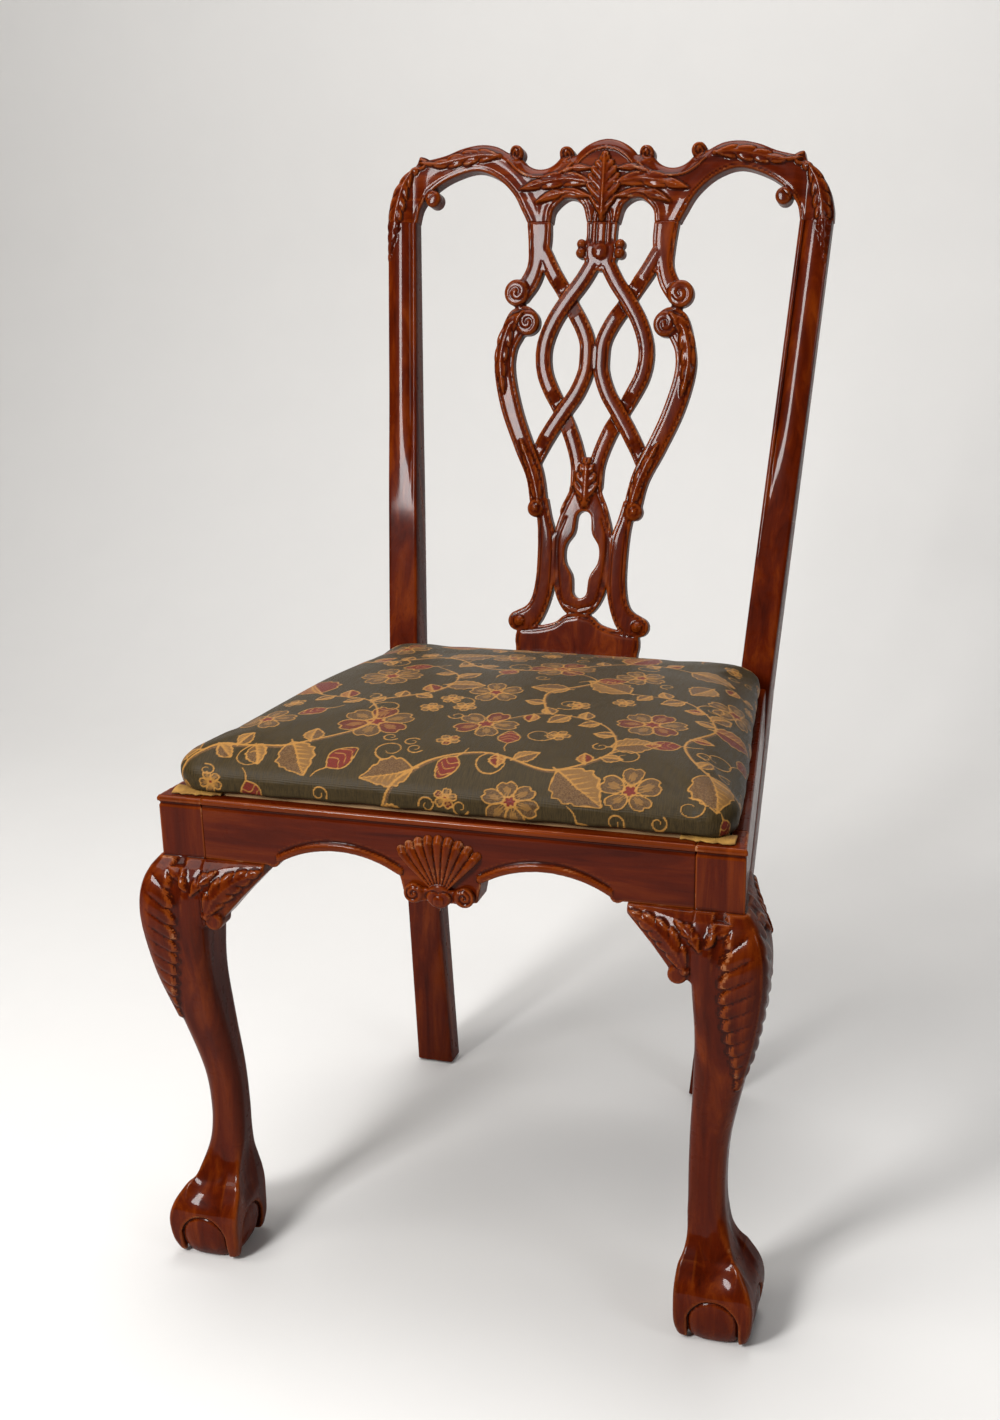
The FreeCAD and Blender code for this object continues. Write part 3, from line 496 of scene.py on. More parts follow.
def mirrored(obj: Piece, name: str) -> Piece:
    """A copy of a piece on the chair's other side, with its own mesh."""
    copy = obj.copy()
    copy.data = obj.data.copy()
    copy.name = copy.data.name = name
    bpy.context.scene.collection.objects.link(copy)
    copy.data.transform(Matrix.Diagonal((-1, 1, 1, 1)))
    copy.data.flip_normals()
    return copy


def carry(obj: Piece, **values: Array) -> None:
    """Give a mesh grey values from 0 to 1 at its corners, by name."""
    for word, value in values.items():
        layer = obj.data.attributes.new(word, "FLOAT", "POINT")
        layer.data.foreach_set("value", np.clip(value, 0, 1).astype(np.float32))


def bent_grid(name: str, spots: Array) -> Piece:
    """A grid of faces through rows and columns of points in the row frame."""
    rows, columns = spots.shape[:2]
    bpy.ops.object.select_all(action="DESELECT")
    bpy.ops.mesh.primitive_grid_add(x_subdivisions=columns - 1, y_subdivisions=rows - 1, size=1)
    obj = bpy.context.object
    obj.name = obj.data.name = name
    obj.data.vertices.foreach_set("co", spots.reshape(-1).astype(np.float32))
    obj.data.update()
    return obj


def pick(*objs: Piece) -> None:
    """Select only these objects and make the first one active."""
    bpy.ops.object.select_all(action="DESELECT")
    for obj in objs:
        obj.select_set(True)
    bpy.context.view_layer.objects.active = objs[0]


def joined(objs: Sequence[Piece], name: str) -> Piece:
    """Several meshes made one piece."""
    pick(*objs)
    bpy.ops.object.join()
    objs[0].name = objs[0].data.name = name
    return objs[0]


@contextmanager
def editing(action: str = "DESELECT") -> Iterator[None]:
    """Edit mode of the active object, with all of it or nothing selected at first."""
    bpy.ops.object.mode_set(mode="EDIT")
    bpy.ops.mesh.select_all(action=action)
    yield
    bpy.ops.object.mode_set(mode="OBJECT")


def coat(obj: Piece, finish: Finish) -> None:
    """Give an object one finish."""
    obj.data.materials.clear()
    obj.data.materials.append(finish)


def seat_piece(obj: Piece, body: Body, nodes: Sequence[str], finish: Finish) -> None:
    """Dress a piece, let it ride on its body and stand for its CAD nodes.

    Args:
        obj: The piece.
        body: The body that it moves with.
        nodes: CAD nodes that it replaces.
        finish: Its material.
    """
    coat(obj, finish)
    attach(obj, body.value)
    if nodes:
        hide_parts(*nodes)
    log.info("%s: %d faces", obj.name, len(obj.data.polygons))


class Nodes:
    """Short ways to lay out one material's nodes."""

    def __init__(self, name: str) -> None:
        """A new material with a bare shader."""
        self.material = bpy.data.materials.new(name)
        self.material.use_nodes = True
        self.tree = self.material.node_tree
        self.shader = self.tree.nodes["Principled BSDF"]

    def add(self, kind: str, **settings) -> bpy.types.Node:
        """A node with its settings and its input values by name."""
        node = self.tree.nodes.new(kind)
        for name, value in settings.items():
            if name in node.inputs:
                node.inputs[name].default_value = value
            else:
                setattr(node, name, value)
        return node

    def link(self, start: Socket, end: Socket) -> None:
        """Join two sockets."""
        self.tree.links.new(start, end)

    def fill(self, socket: Socket, value: Socket | tuple | float) -> None:
        """Give a socket a link, a colour or a number."""
        if isinstance(value, Socket):
            self.link(value, socket)
        else:
            socket.default_value = (*value, 1) if isinstance(value, tuple) else value

    def place(self, scale: Spot = (1, 1, 1)) -> Socket:
        """Object coordinates, scaled."""
        where = self.add("ShaderNodeTexCoord")
        mapping = self.add("ShaderNodeMapping", Scale=scale)
        self.link(where.outputs["Object"], mapping.inputs["Vector"])
        return mapping.outputs["Vector"]

    def wave(self, direction: str, scale: float, twist: float) -> Socket:
        """Bands across one axis, in grey."""
        node = self.add("ShaderNodeTexWave", wave_type="BANDS", bands_direction=direction,
                        Scale=scale, Distortion=twist, Detail=1.0)
        self.link(self.place(), node.inputs["Vector"])
        return node.outputs["Fac"]

    def product(self, *values: Socket) -> Socket:
        """Two grey values multiplied."""
        node = self.add("ShaderNodeMath", operation="MULTIPLY")
        for value, socket in zip(values, node.inputs):
            self.link(value, socket)
        return node.outputs[0]

    def noise(self, where: Socket, scale: float, detail: float = 3.0,
              rough: float = 0.55, twist: float = 0.0) -> Socket:
        """Noise in grey."""
        node = self.add("ShaderNodeTexNoise", Scale=scale, Detail=detail, Roughness=rough,
                        Distortion=twist)
        self.link(where, node.inputs["Vector"])
        return node.outputs["Fac"]

    def ramp(self, value: Socket, stops: Sequence[tuple]) -> Socket:
        """Colours at places from 0 to 1."""
        node = self.add("ShaderNodeValToRGB")
        parts = node.color_ramp.elements
        while len(parts) < len(stops):
            parts.new(0.5)
        for part, (spot, colour) in zip(parts, stops):
            part.position = spot
            part.color = (*colour, 1)
        self.link(value, node.inputs["Fac"])
        return node.outputs["Color"]

    def mix(self, share: Socket | float, first: Socket | tuple, second: Socket | tuple) -> Socket:
        """Two colours mixed by a share; a colour mix has them at sockets 6 and 7."""
        node = self.add("ShaderNodeMix", data_type="RGBA")
        for i, value in ((0, share), (6, first), (7, second)):
            self.fill(node.inputs[i], value)
        return node.outputs[2]

    def range(self, value: Socket, low: float, high: float, out_low: float,
              out_high: float) -> Socket:
        """A value moved from one range to another."""
        node = self.add("ShaderNodeMapRange")
        self.link(value, node.inputs[0])
        for i, number in enumerate((low, high, out_low, out_high)):
            node.inputs[i + 1].default_value = number
        return node.outputs[0]

    def attribute(self, name: str) -> Socket:
        """A grey value that the mesh carries at its corners."""
        return self.add("ShaderNodeAttribute", attribute_name=name).outputs["Fac"]

    def bump(self, height: Socket, strength: float, depth: float,
             under: Socket | None = None) -> Socket:
        """Bump from a height, in metres, on top of another."""
        node = self.add("ShaderNodeBump", Strength=strength, Distance=depth)
        self.link(height, node.inputs["Height"])
        if under:
            self.link(under, node.inputs["Normal"])
        return node.outputs["Normal"]

    def dress(self, **values) -> Finish:
        """Fill the shader's sockets with numbers, colours or links."""
        for name, value in values.items():
            self.fill(self.shader.inputs[name.replace("_", " ")], value)
        return self.material


class Grain(Enum):
    """Direction of the wood's grain, as stretch along X, Y and Z."""

    ACROSS = (2.2, 26.0, 26.0)
    BACK = (26.0, 2.2, 26.0)
    UP = (26.0, 26.0, 2.2)


@dataclass(frozen=True)
class Lacquer:
    """Red-brown mahogany under glossy lacquer."""

    name: str = "mahogany_lacquer"
    grain: Grain = Grain.UP
    deep: Spot = (0.036, 0.0031, 0.0004)
    body: Spot = (0.079, 0.0078, 0.0005)
    bright: Spot = (0.165, 0.0255, 0.0013)
    # The next two colours: painted shade for the hollows, then a lighter edge colour that is partly
    # rubbed wear and partly painted highlight.
    recess_shade: Spot = (0.016, 0.0020, 0.0006)
    rubbed_and_highlight: Spot = (0.26, 0.055, 0.006)
    bare: Spot = (0.42, 0.20, 0.09)

    def material(self) -> Finish:
        """Grain, pores, painted shade in recesses, rubbed edges that are partly wear and partly
        painted highlight, and a slightly uneven coat.
        """
        n = Nodes(f"{self.name}_{self.grain.name.lower()}")
        along = n.place(self.grain.value)
        bands = n.noise(along, 2.4, 5.0, 0.6, 0.7)
        wood = n.ramp(bands, [(0.30, self.deep), (0.50, self.body), (0.72, self.bright)])
        broad = n.noise(n.place(), 6.0, 2.0)
        wood = n.mix(n.range(broad, 0.35, 0.7, 0.05, 0.4), wood, self.deep)
        pores = n.noise(along, 26.0, 2.0, 0.5)
        wood = n.mix(n.range(pores, 0.60, 0.75, 0.0, 0.45), wood, self.deep)
        # Painted shade: the wood darkens wherever the carved surface is hollow.
        hollow = n.attribute("hollow")
        wood = n.mix(n.range(hollow, 0.02, 0.5, 0.0, 0.75), wood, self.recess_shade)
        # Lighter on proud edges: partly rubbed wear, partly painted highlight.
        proud = n.attribute("proud")
        wood = n.mix(n.range(proud, 0.05, 0.6, 0.0, 0.4), wood, self.rubbed_and_highlight)
        bare = n.mix(n.range(proud, 0.35, 0.8, 0.0, 0.42), wood, self.bare)
        nicks = n.noise(n.place(), 55.0, 4.0, 0.65)
        wood = n.mix(n.range(nicks, 0.57, 0.64, 0.0, 1.0), wood, bare)
        dust = n.noise(n.place(), 120.0, 3.0)
        ripple = n.noise(n.place(), 38.0, 2.0)
        normal = n.bump(ripple, 0.25, 0.0012)
        normal = n.bump(pores, 0.12, 0.0003, normal)
        return n.dress(Base_Color=wood, Roughness=n.range(dust, 0.3, 0.75, 0.24, 0.40),
                       Normal=normal, Specular_IOR_Level=0.02, Coat_Weight=0.17,
                       Coat_Roughness=0.06, Coat_IOR=1.5)


@dataclass
class BackSplat:
    """Pierced splat on the leaning board: straps that pass over and under, scrolls and keyhole."""

    front: float = 2.0
    back: float = 16.0
    under: float = 3.5
    ribbon: float = 16.5
    edge: float = 1.7
    foot_cut: float = 484.0
    grid: float = 1.31
    from_stem: Line = (
        (5, 897), (18, 875), (33, 855), (46, 835), (54, 815), (56, 798), (53, 780), (45, 763),
        (35, 746), (24, 727), (15, 706), (10, 688), (9, 668))
    from_arm: Line = (
        (62, 902), (51, 883), (40, 867), (29, 850), (16, 830), (9, 814), (7.6, 798), (9, 782),
        (17, 762), (29, 744), (41, 726), (51, 709), (60, 692))
    stem_dips: Line = ((35, 742),)
    arm_dips: Line = ((35, 857), (58, 696))
    bosses: Sequence[tuple] = (
        ((89, 862), 13.5, 1), ((75, 832), 13.0, -1), ((54, 643), 9.0, 1), ((65, 526), 5.5, -1))
    beads: Sequence[tuple] = (((21, 911), 5.0), ((21, 902), 5.5))

    def arm(self) -> Array:
        """Ring of the right arm that comes down from the crest."""
        return outline([
            [(56, 936), (56, 952)],
            [(56, 952), (82.5, 952)],
            [(82.5, 952), (82.5, 936)],
            [(82.5, 936), (79.5, 912), (79, 890), (87, 873)],
            [(87, 873), (90, 850)],
            [(90, 850), (78, 853)],
            [(78, 853), (67, 868), (61, 884), (55.5, 912), (56, 936)]])

    def scroll_strap(self) -> Array:
        """Ring of the right outer strap under its scroll."""
        return outline([
            [(78, 849), (96, 842), (107, 812), (109.5, 785), (100, 745), (82, 704), (67, 674),
             (61, 648)],
            [(61, 648), (42, 648)],
            [(42, 648), (49, 680), (60, 705), (76, 742), (87, 780), (87, 803), (80, 818)],
            [(80, 818), (64, 826)],
            [(64, 826), (66, 841), (78, 849)]])

    def stile(self) -> Array:
        """Ring of the right stile beside the keyhole."""
        return outline([
            [(60, 654), (52, 632), (49.3, 600), (50, 566), (56, 545), (70, 536)],
            [(70, 536), (77.5, 528), (68, 516)],
            [(68, 516), (58, 511)],
            [(58, 511), (48, 518.5)],
            [(48, 518.5), (40, 529), (33, 547), (29.5, 566), (29.5, 600), (31.5, 619), (37, 635),
             (42, 654)],
            [(42, 654), (60, 654)]])

    def middle(self) -> list[Array]:
        """Rings of the stem, the keyhole's surround and the foot."""
        stem = [(17, 936), (16, 918), (19, 905), (14, 889), (0, 884)]
        surround = [(0, 690), (11, 678), (16, 662), (25, 642), (31.5, 619), (31.5, 590),
                    (29.5, 567), (24, 550), (14, 537), (0, 533)]
        base = [[(0, 538), (15, 534.5), (25, 527), (42, 522.5), (60, 521)],
                [(60, 521), (67, 516), (68.5, 506), (67, 495), (69, 483)]]
        return [outline([stem, flipped(stem), [(-17, 936), (-17, 952)], [(-17, 952), (17, 952)],
                         [(17, 952), (17, 936)]]),
                outline([surround, flipped(surround)]),
                outline([base[0], base[1], [(69, 483), (-69, 483)], flipped(base[1]),
                         flipped(base[0])])]

    def keyhole(self) -> Array:
        """Ring of the pierced keyhole."""
        half = [(8, 634), (10, 619), (18, 606), (18, 590), (10, 576), (8, 562)]
        back = flipped(half)
        return outline([half, [half[-1], (0, 552.5), back[0]], back,
                        [back[-1], (0, 642), half[0]]])

    @staticmethod
    def around(blank: Blank, points: Array, margin: float) -> tuple:
        """The part of the block round points of its front view, through its whole depth."""
        low, high = points.min(axis=0) - margin, points.max(axis=0) + margin
        return blank.window((low[0], -6, low[1]), (high[0], 30, high[1]))

    def lay(self, blank: Blank, cut: tuple, y: Array, flat: Array, face: Array) -> None:
        """Add a shape with rounded edges between its own face and the splat's flat back."""
        middle = (self.front + self.back) / 2
        deep = np.where(y < middle, face - y, y - self.back)
        blank.join(cut, rounded_slab(flat, deep, self.edge))

    def board(self, blank: Blank, ring: Array) -> None:
        """Add a board with a crowned face and a fine line inside its edge."""
        cut, x, y, z = self.around(blank, ring, 6)
        flat = front_view(ring_distance, x, z, ring)
        groove = 0.7 * np.exp(-(((flat + 3.2) / 0.9) ** 2))
        self.lay(blank, cut, y, flat, self.front + 0.3 * ease(-9.0, 0.0, flat) + groove)

    def strap(self, blank: Blank, points: Line, dips: Line) -> None:
        """Add a crowned strap that sinks where another passes over it."""
        line = smooth_line(points)
        cut, x, y, z = self.around(blank, line, 16)
        gap = front_view(line_gap, x, z, line)
        sunk = np.zeros_like(gap)
        for a, b in dips:
            away = np.hypot(x - a, z - b)
            sunk = np.maximum(sunk, self.under * (1 - ease(10.0, 24.0, away)))
        half = self.ribbon / 2
        crown = 0.3 * (gap / half) ** 2 + 0.7 * np.exp(-(((gap - half + 2.9) / 0.85) ** 2))
        self.lay(blank, cut, y, gap - half, self.front + sunk + np.minimum(crown, 3))

    def carving(self) -> Relief:
        """Leaves, spirals and buttons on the right half's front."""
        relief = Relief((-2, 480), (115, 940))
        for centre, radius, _ in self.bosses:
            relief.dome(centre, radius, 1.5)
        for centre, radius, turn in self.bosses[:2]:
            relief.volute(centre, 0.72 * radius, 1.1 * turn, 200 if turn > 0 else 20, 2.4, 0.8)
        for centre, radius, _ in self.bosses[2:]:
            relief.dome(centre, 0.5 * radius, 2.8)
        relief.acanthus([(80, 842), (94, 829), (101, 808), (102, 786), (97, 760)],
                        (4, 7.5, 9.5, 8.5, 6, 2), 5, 2.6)
        relief.acanthus([(51, 650), (57, 672), (66, 694), (75, 712)], (6, 8, 6.5, 2), 4, 2.2)
        relief.acanthus([(15, 668), (22, 655), (27, 638)], (2.5, 4.5, 4, 1.5), 2, 1.8)
        relief.acanthus([(0, 650), (0, 672), (0, 698)], (5, 12, 14.5, 12, 8, 3), 4, 3.0)
        relief.groove([(20, 634), (26, 616), (26, 592), (23, 566), (17, 548), (0, 541)], 2.0, 0.8)
        relief.groove([(2, 533), (16, 529.5), (27, 522), (44, 517.5), (60, 516)], 2.0, 0.6)
        relief.dome((0, 904), 8.0, 1.6)
        for x in (5.0, 10.5):
            relief.groove([(x, 912), (x, 946)], 2.2, 0.8)
        return relief

    def build(self) -> Piece:
        """Carve the right half, mirror it and mesh the whole."""
        blank = Blank((-2 * self.grid, -3, 480), (114, 19, 940), self.grid)
        for ring in [self.arm(), self.scroll_strap(), self.stile()] + self.middle():
            self.board(blank, ring)
        self.strap(blank, self.from_stem, self.stem_dips)
        self.strap(blank, self.from_arm, self.arm_dips)
        for centre, radius, _ in self.bosses:
            cut, x, y, z = self.around(blank, np.array([centre]), 18)
            flat = np.hypot(x - centre[0], z - centre[1]) - radius
            blank.join(cut, rounded_slab(flat, np.maximum(0.6 - y, y - self.back), 3.0), 1.2)
        for (x, z), radius in self.beads:
            blank.rod((x, 4, z), (x, 13, z), (radius, radius), 1.0)
        blank.rod((87, 8, 853), (82, 9, 842), (6.0, 6.0), 2.0)
        cut, x, y, z = blank.window((-3, -6, 540), (30, 30, 650))
        blank.remove(cut, front_view(ring_distance, x, z, self.keyhole()) + 0 * y, 1.2)
        x, y, z = blank.everywhere()
        blank.gap -= front_view(self.carving().at, x, z) * (1 - ease(3.0, 9.0, y))
        blank.fold()
        wear_and_shade = blank.gap
        top = SIZES.board_seam + SIZES.seam_lap
        blank.gap = most(wear_and_shade, z - top, self.foot_cut - z).astype(np.float32)
        return blank.mesh("back_splat_carved", leaning, wear_and_shade)


@dataclass
class CrestRail:
    """Serpentine crest with scrolled ears, rolled edges and carved leaves, on the leaning board."""

    back: float = 22.0
    edge: float = 3.2
    grid: float = 1.0
    splat_setback: float = 2.0
    post_inner: float = 207.0
    post_width: float = 33.0
    scrolls: Sequence[tuple] = (((43, 1000), 8.0), ((98.5, 1002), 8.0))
    knob: tuple = ((189, 957), 8.5)
    upper: Sequence[Line] = (
        ((0, 1016), (18, 1011.6), (33, 1000)),
        ((33, 1000), (51, 997)),
        ((51, 997), (70, 986.5), (91, 996)),
        ((91, 996), (107, 1003)),
        ((107, 1003), (122, 1010), (140, 1012), (160, 1008.5), (178, 1002), (197, 997.5)),
        ((197, 997.5), (201, 999.5), (207, 1000)),
        ((207, 1000), (211, 990), (223, 980.5), (235, 963.5), (240.4, 945), (241, 933)))
    lower: Sequence[Line] = (
        ((241, 933), (241, 912)), ((241, 912), (207, 912)), ((207, 912), (207, 933)),
        ((207, 933), (203, 949), (191, 964), (170, 977), (142, 984.5), (118, 977), (99, 961),
         (88, 943), (82.5, 933)),
        ((82.5, 933), (82.5, 912)), ((82.5, 912), (56, 912)), ((56, 912), (56, 933)),
        ((56, 933), (53, 946), (38, 957), (23, 950), (17, 933)),
        ((17, 933), (17, 912)), ((17, 912), (0, 912)))

    leaves: Sequence[tuple] = (
        (((0, 936), (0, 966), (0, 998)), (4, 9, 16, 20, 19, 14, 5), 6, 4.0),
        (((12, 971), (38, 974.5), (62, 972), (90, 965)), (4, 8, 9.5, 7, 2.5), 3, 3.4),
        (((12, 957), (34, 961), (54, 959.5), (72, 952)), (3, 6, 6.5, 2.5), 2, 3.0),
        (((14, 985), (32, 985.5), (52, 980)), (2.5, 4.4, 4, 1.5), 2, 2.6),
        (((116, 999), (138, 999.5), (162, 995.5), (184, 991.5), (206, 993)),
         (4, 8, 9, 7.5, 4.5, 2), 5, 3.0),
        (((213, 986), (223, 969), (229, 948), (232, 926), (234.5, 902)),
         (4, 8.5, 10.5, 9, 6, 2.5), 7, 3.0))

    def carving(self) -> Relief:
        """Palmette, feathers, shoulder leaf, raised lines, spirals and buttons, right half."""
        relief = Relief((-3, 890), (246, 1020))
        for spine, widths, lobes, rise in self.leaves:
            relief.acanthus(spine, widths, lobes, rise)
        for x in (5.0, 10.5):
            relief.groove([(x, 912), (x, 934), (0.8 * x, 944)], 2.2, 0.8)
        relief.ridge([(0, 1006), (13, 1003), (24, 996), (31, 988)],
                     (2.4, 2.4, 2.4), (1.4, 1.4, 1.0))
        relief.ridge([(35, 991), (45, 983.5), (57, 978.8), (70, 977.2), (84, 979), (95, 984.5),
                      (106, 994)], (2.4, 2.4, 2.4), (1.4, 1.8, 1.4))
        for (x, z), radius in self.scrolls:
            relief.dome((x, z), radius, 1.6)
            relief.volute((x, z), 0.8 * radius, -1.2 if x < 70 else 1.2, 250 if x < 70 else 290,
                          1.9, 1.2)
        relief.dome(*self.knob, 1.5)
        relief.ridge([(205, 997), (199, 994), (201, 988.5), (207, 987)],
                     (3, 4, 4, 3), (1.4, 2.2, 2.2, 1.6))
        relief.dome((210.5, 985), 4.6, 2.8)
        relief.dome((236, 897), 3.6, 2.0)
        return relief

    def build(self) -> Piece:
        """Carve the right half, mirror it and mesh the whole."""
        blank = Blank((-2 * self.grid, -6, 927), (244, 25, 1019), self.grid)
        x, y, z = blank.everywhere()
        upper, lower = outline(self.upper), outline(self.lower)
        half = np.vstack([upper, lower[1:]])
        ring = np.vstack([half, (half * np.array([-1, 1]))[::-1][1:-1]])
        flat = front_view(ring_distance, x, z, ring)
        for (a, b), radius in list(self.scrolls) + [self.knob]:
            flat = soft_min(flat, np.hypot(x - a, z - b) - radius, 1.0)
        top, low = (front_view(line_gap, x, z, line) for line in (upper, lower))
        roll = 5.0 * (1 - np.clip(top / 8.5, 0, 1)) ** 1.4 * ease(215, 190, x)
        bead = 0.7 * np.exp(-(((low - 3.2) / 0.9) ** 2))
        dish = 0.6 * np.exp(-(((low - 12.0) / 5.5) ** 2)) * ease(2.0, 12.0, top)
        dish = dish * ease(200, 172, x)
        over = (x - self.post_inner) / self.post_width
        over = np.clip(over - SIZES.post_bead, 0, 1) / (1 - SIZES.post_bead)
        crown = SIZES.post_crown * (2 * over - 1) ** 2 * ease(992, 936, z) * ease(198, 208, x)
        behind = self.splat_setback * ease(956, 934, z) * ease(100, 90, x)
        face = roll + bead + dish + crown + behind
        deep = np.where(y < self.back / 2, face - y, y - self.back)
        blank.gap = rounded_slab(flat, deep, self.edge).astype(np.float32)
        blank.gap -= front_view(self.carving().at, x, z) * (1 - ease(4.0, 11.0, y))
        blank.fold()
        wear_and_shade = blank.gap
        blank.gap = most(wear_and_shade, SIZES.board_seam - SIZES.seam_lap - z).astype(np.float32)
        return blank.mesh("crest_rail_carved", leaning, wear_and_shade)


@dataclass
class FrontLeg:
    """Right cabriole leg with its stump, carved knee, two knee brackets and ball-and-claw foot."""

    grid: float = 1.15
    stump: float = 42.0
    lap: float = 0.5
    bracket_run: float = 57.0
    bracket_drop: float = 62.0
    eye_share: float = 0.19
    eye_radius: float = 8.5
    foot: Spot = (248.0, 16.0, 29.0)
    ball: float = 35.8
    ball_square: float = 2.9
    ball_tall: float = 0.86
    talon_lift: float = 0.3
    arch: float = 22.5
    arch_height: float = 23.0
    web: float = 3.6
    sections: Sequence[tuple] = (
        (415, 0.0, 42.0, 3), (401, 11.5, 53.5, 8), (380, 18.5, 60.5, 11), (350, 19.5, 61.5, 13),
        (300, 12.5, 52.5, 13), (245, -0.5, 42.5, 13), (190, -11.5, 35.5, 13),
        (150, -14.5, 33.5, 12), (120, -13.5, 34.0, 10), (100, -9.5, 38.0, 7),
        (85, -3.0, 46.0, 4.5), (70, 7.0, 58.0, 3.4), (56, 15.5, 67.5, 3.0),
        (40, 19.5, 71.5, 3.2), (18, 18.0, 69.5, 4), (0, 13.0, 61.0, 7))
    bracket: Sequence[tuple] = (
        (-0.4, 1.0, 18.0), (0.0, 0.97, 17.5), (0.27, 0.9, 15.0), (0.6, 0.55, 8.0),
        (1.0, 0.16, 2.0))

    @property
    def eye(self) -> Point:
        """Middle of a bracket's scroll: its distance from the leg, and its height."""
        return self.eye_share * self.bracket_run, SIZES.rail_bottom - self.bracket_drop + 8

    def section(self, z: Array) -> list[Array]:
        """How far the faces stand beyond the rails, the thickness and the corners at a height."""
        table = np.array(self.sections)[::-1]
        fine = np.hstack([smooth_line(table[:, [0, k]]) for k in (1, 2, 3)])
        return [np.interp(z, fine[:, 2 * k], fine[:, 2 * k + 1]) for k in range(3)]

    def limb(self, blank: Blank) -> None:
        """Add the leg from knee to floor."""
        cut, x, y, z = blank.window((190, -30, -2), (290, 75, SIZES.rail_bottom))
        beyond, width, radius = self.section(z)
        a = np.abs(x - (SIZES.front_half + beyond - width / 2)) - width / 2
        b = np.abs(y - (width / 2 - beyond)) - width / 2
        blank.join(cut, most(rounded_slab(a, b, radius), z - SIZES.rail_bottom, -z))

    def claw(self, blank: Blank) -> None:
        """Cut four arches in to the ball, crease their rims and lift the talons' tips."""
        fx, fy, fz = self.foot
        cut, x, y, z = blank.window((fx - 45, fy - 45, -2), (fx + 45, fy + 45, 110))
        u, v = x - fx, y - fy
        power = self.ball_square
        wide = (np.abs(u) ** power + np.abs(v) ** power) ** (1 / power)
        ball = np.hypot(wide, self.ball_tall * (z - fz)) - self.ball
        for out, across in ((u, v), (-u, v), (v, u), (-v, u)):
            tunnel = np.hypot(across, np.maximum(z - self.arch_height, 0)) - self.arch
            hollow = self.web * np.clip(1 - (across / 19) ** 2, 0, 1) * ease(50, 66, z)
            blank.gap[cut] += hollow * (1 - ease(76, 116, z)) * ease(6, 16, out)
            crease = 1.1 * np.exp(-((tunnel / 1.3) ** 2)) * ease(12, 20, out)
            blank.remove(cut, most(tunnel, 2 - out, -ball), 0.6)
            blank.gap[cut] += crease
        lift = self.talon_lift * np.maximum(wide - 25, 0)
        blank.remove(cut, z - 0.6 - lift, 1.5)

    def bracket_axes(self, front: bool, x: Array, y: Array) -> tuple:
        """Distance from the leg along a bracket's rail, and distance out of that rail's face."""
        if front:
            return SIZES.rail_half - x, -y
        slope = math.hypot(1, SIZES.taper)
        a, b = x - SIZES.side_x(self.stump), y - self.stump
        return (b - SIZES.taper * a) / slope, (a + SIZES.taper * b) / slope

    def wing(self, blank: Blank, front: bool) -> None:
        """Add a bracket: deep at the leg, thin at its tip, with a scroll's eye below."""
        low, high = (158, -26, 344), (244, 34, 416)
        if not front:
            low, high = (200, 22, 344), (292, 106, 416)
        cut, x, y, z = blank.window(low, high)
        run, out = self.bracket_axes(front, x, y)
        share = run / self.bracket_run
        table = np.array(self.bracket)
        drop = np.interp(share, table[:, 0], table[:, 1]) * self.bracket_drop
        swell = np.interp(share, table[:, 0], table[:, 2])
        under = SIZES.rail_bottom - z
        down = np.clip(under / np.maximum(drop, 1), 0, 1.2)
        face = swell * np.interp(down, (0, 0.12, 0.3, 0.55, 0.8, 1.0, 1.2),
                                 (0.1, 0.5, 0.86, 1.0, 0.95, 0.8, 0.5))
        wing = rounded_slab(np.maximum(under - drop, -under), out - face, 3.0)
        wing = most(wing, -out - 22, run - self.bracket_run)
        disc = np.hypot(run - self.eye[0], z - self.eye[1]) - self.eye_radius
        wing = soft_min(wing, rounded_slab(disc, np.maximum(out - 17, -6 - out), 3), 2)
        blank.join(cut, np.maximum(wing, -run - 16), 5.0)

    def knee_carving(self) -> Relief:
        """Leaf that hangs over the knee, across the arris and down it."""
        relief = Relief((-46, 235), (46, 416))
        relief.acanthus([(0, 406), (0, 355), (0, 305), (0, 252)],
                        (17, 25, 28, 27, 23, 17, 10, 4), 10, 2.7, 0.9, 0.24)
        for side in (1, -1):
            relief.acanthus([(side * 12, 408), (side * 24, 402), (side * 33, 390)],
                            (3, 6, 5, 2), 2, 2.2)
        relief.dome((0, 254), 4.5, 2.6)
        return relief

    def bracket_carving(self) -> Relief:
        """Fronds that run to the bracket's tip and curl into the scroll's eye."""
        relief = Relief((-24, 344), (60, 418))
        relief.volute(self.eye, 0.85 * self.eye_radius, 1.3, 80, 2.2, 1.4)
        relief.acanthus([(4, 366), (14, 384), (30, 398), (54, 409)],
                        (5, 11, 12.5, 9, 3), 5, 2.6, 0.9)
        relief.acanthus([(-8, 386), (0, 398), (14, 407)], (3, 6, 6, 2), 3, 2.2)
        return relief

    def carve(self, blank: Blank) -> None:
        """Raise the leaves on the knee and on both brackets."""
        cut, x, y, z = blank.window((200, -30, 236), (290, 80, 414))
        beyond = self.section(z)[0]
        a, b = x - (SIZES.front_half + beyond), y + beyond
        across, inward = (a + b) / math.sqrt(2), (b - a) / math.sqrt(2)
        near = 1 - ease(36.0, 46.0, inward)
        blank.gap[cut] -= near * self.knee_carving().at(across, z + 0 * across)
        for front, low, high in ((True, (158, -30, 344), (246, 10, 416)),
                                 (False, (220, 18, 344), (292, 106, 416))):
            cut, x, y, z = blank.window(low, high)
            run, out = self.bracket_axes(front, x, y)
            near = ease(-6.0, 1.0, out)
            blank.gap[cut] -= near * self.bracket_carving().at(run + 0 * z, z + 0 * run)

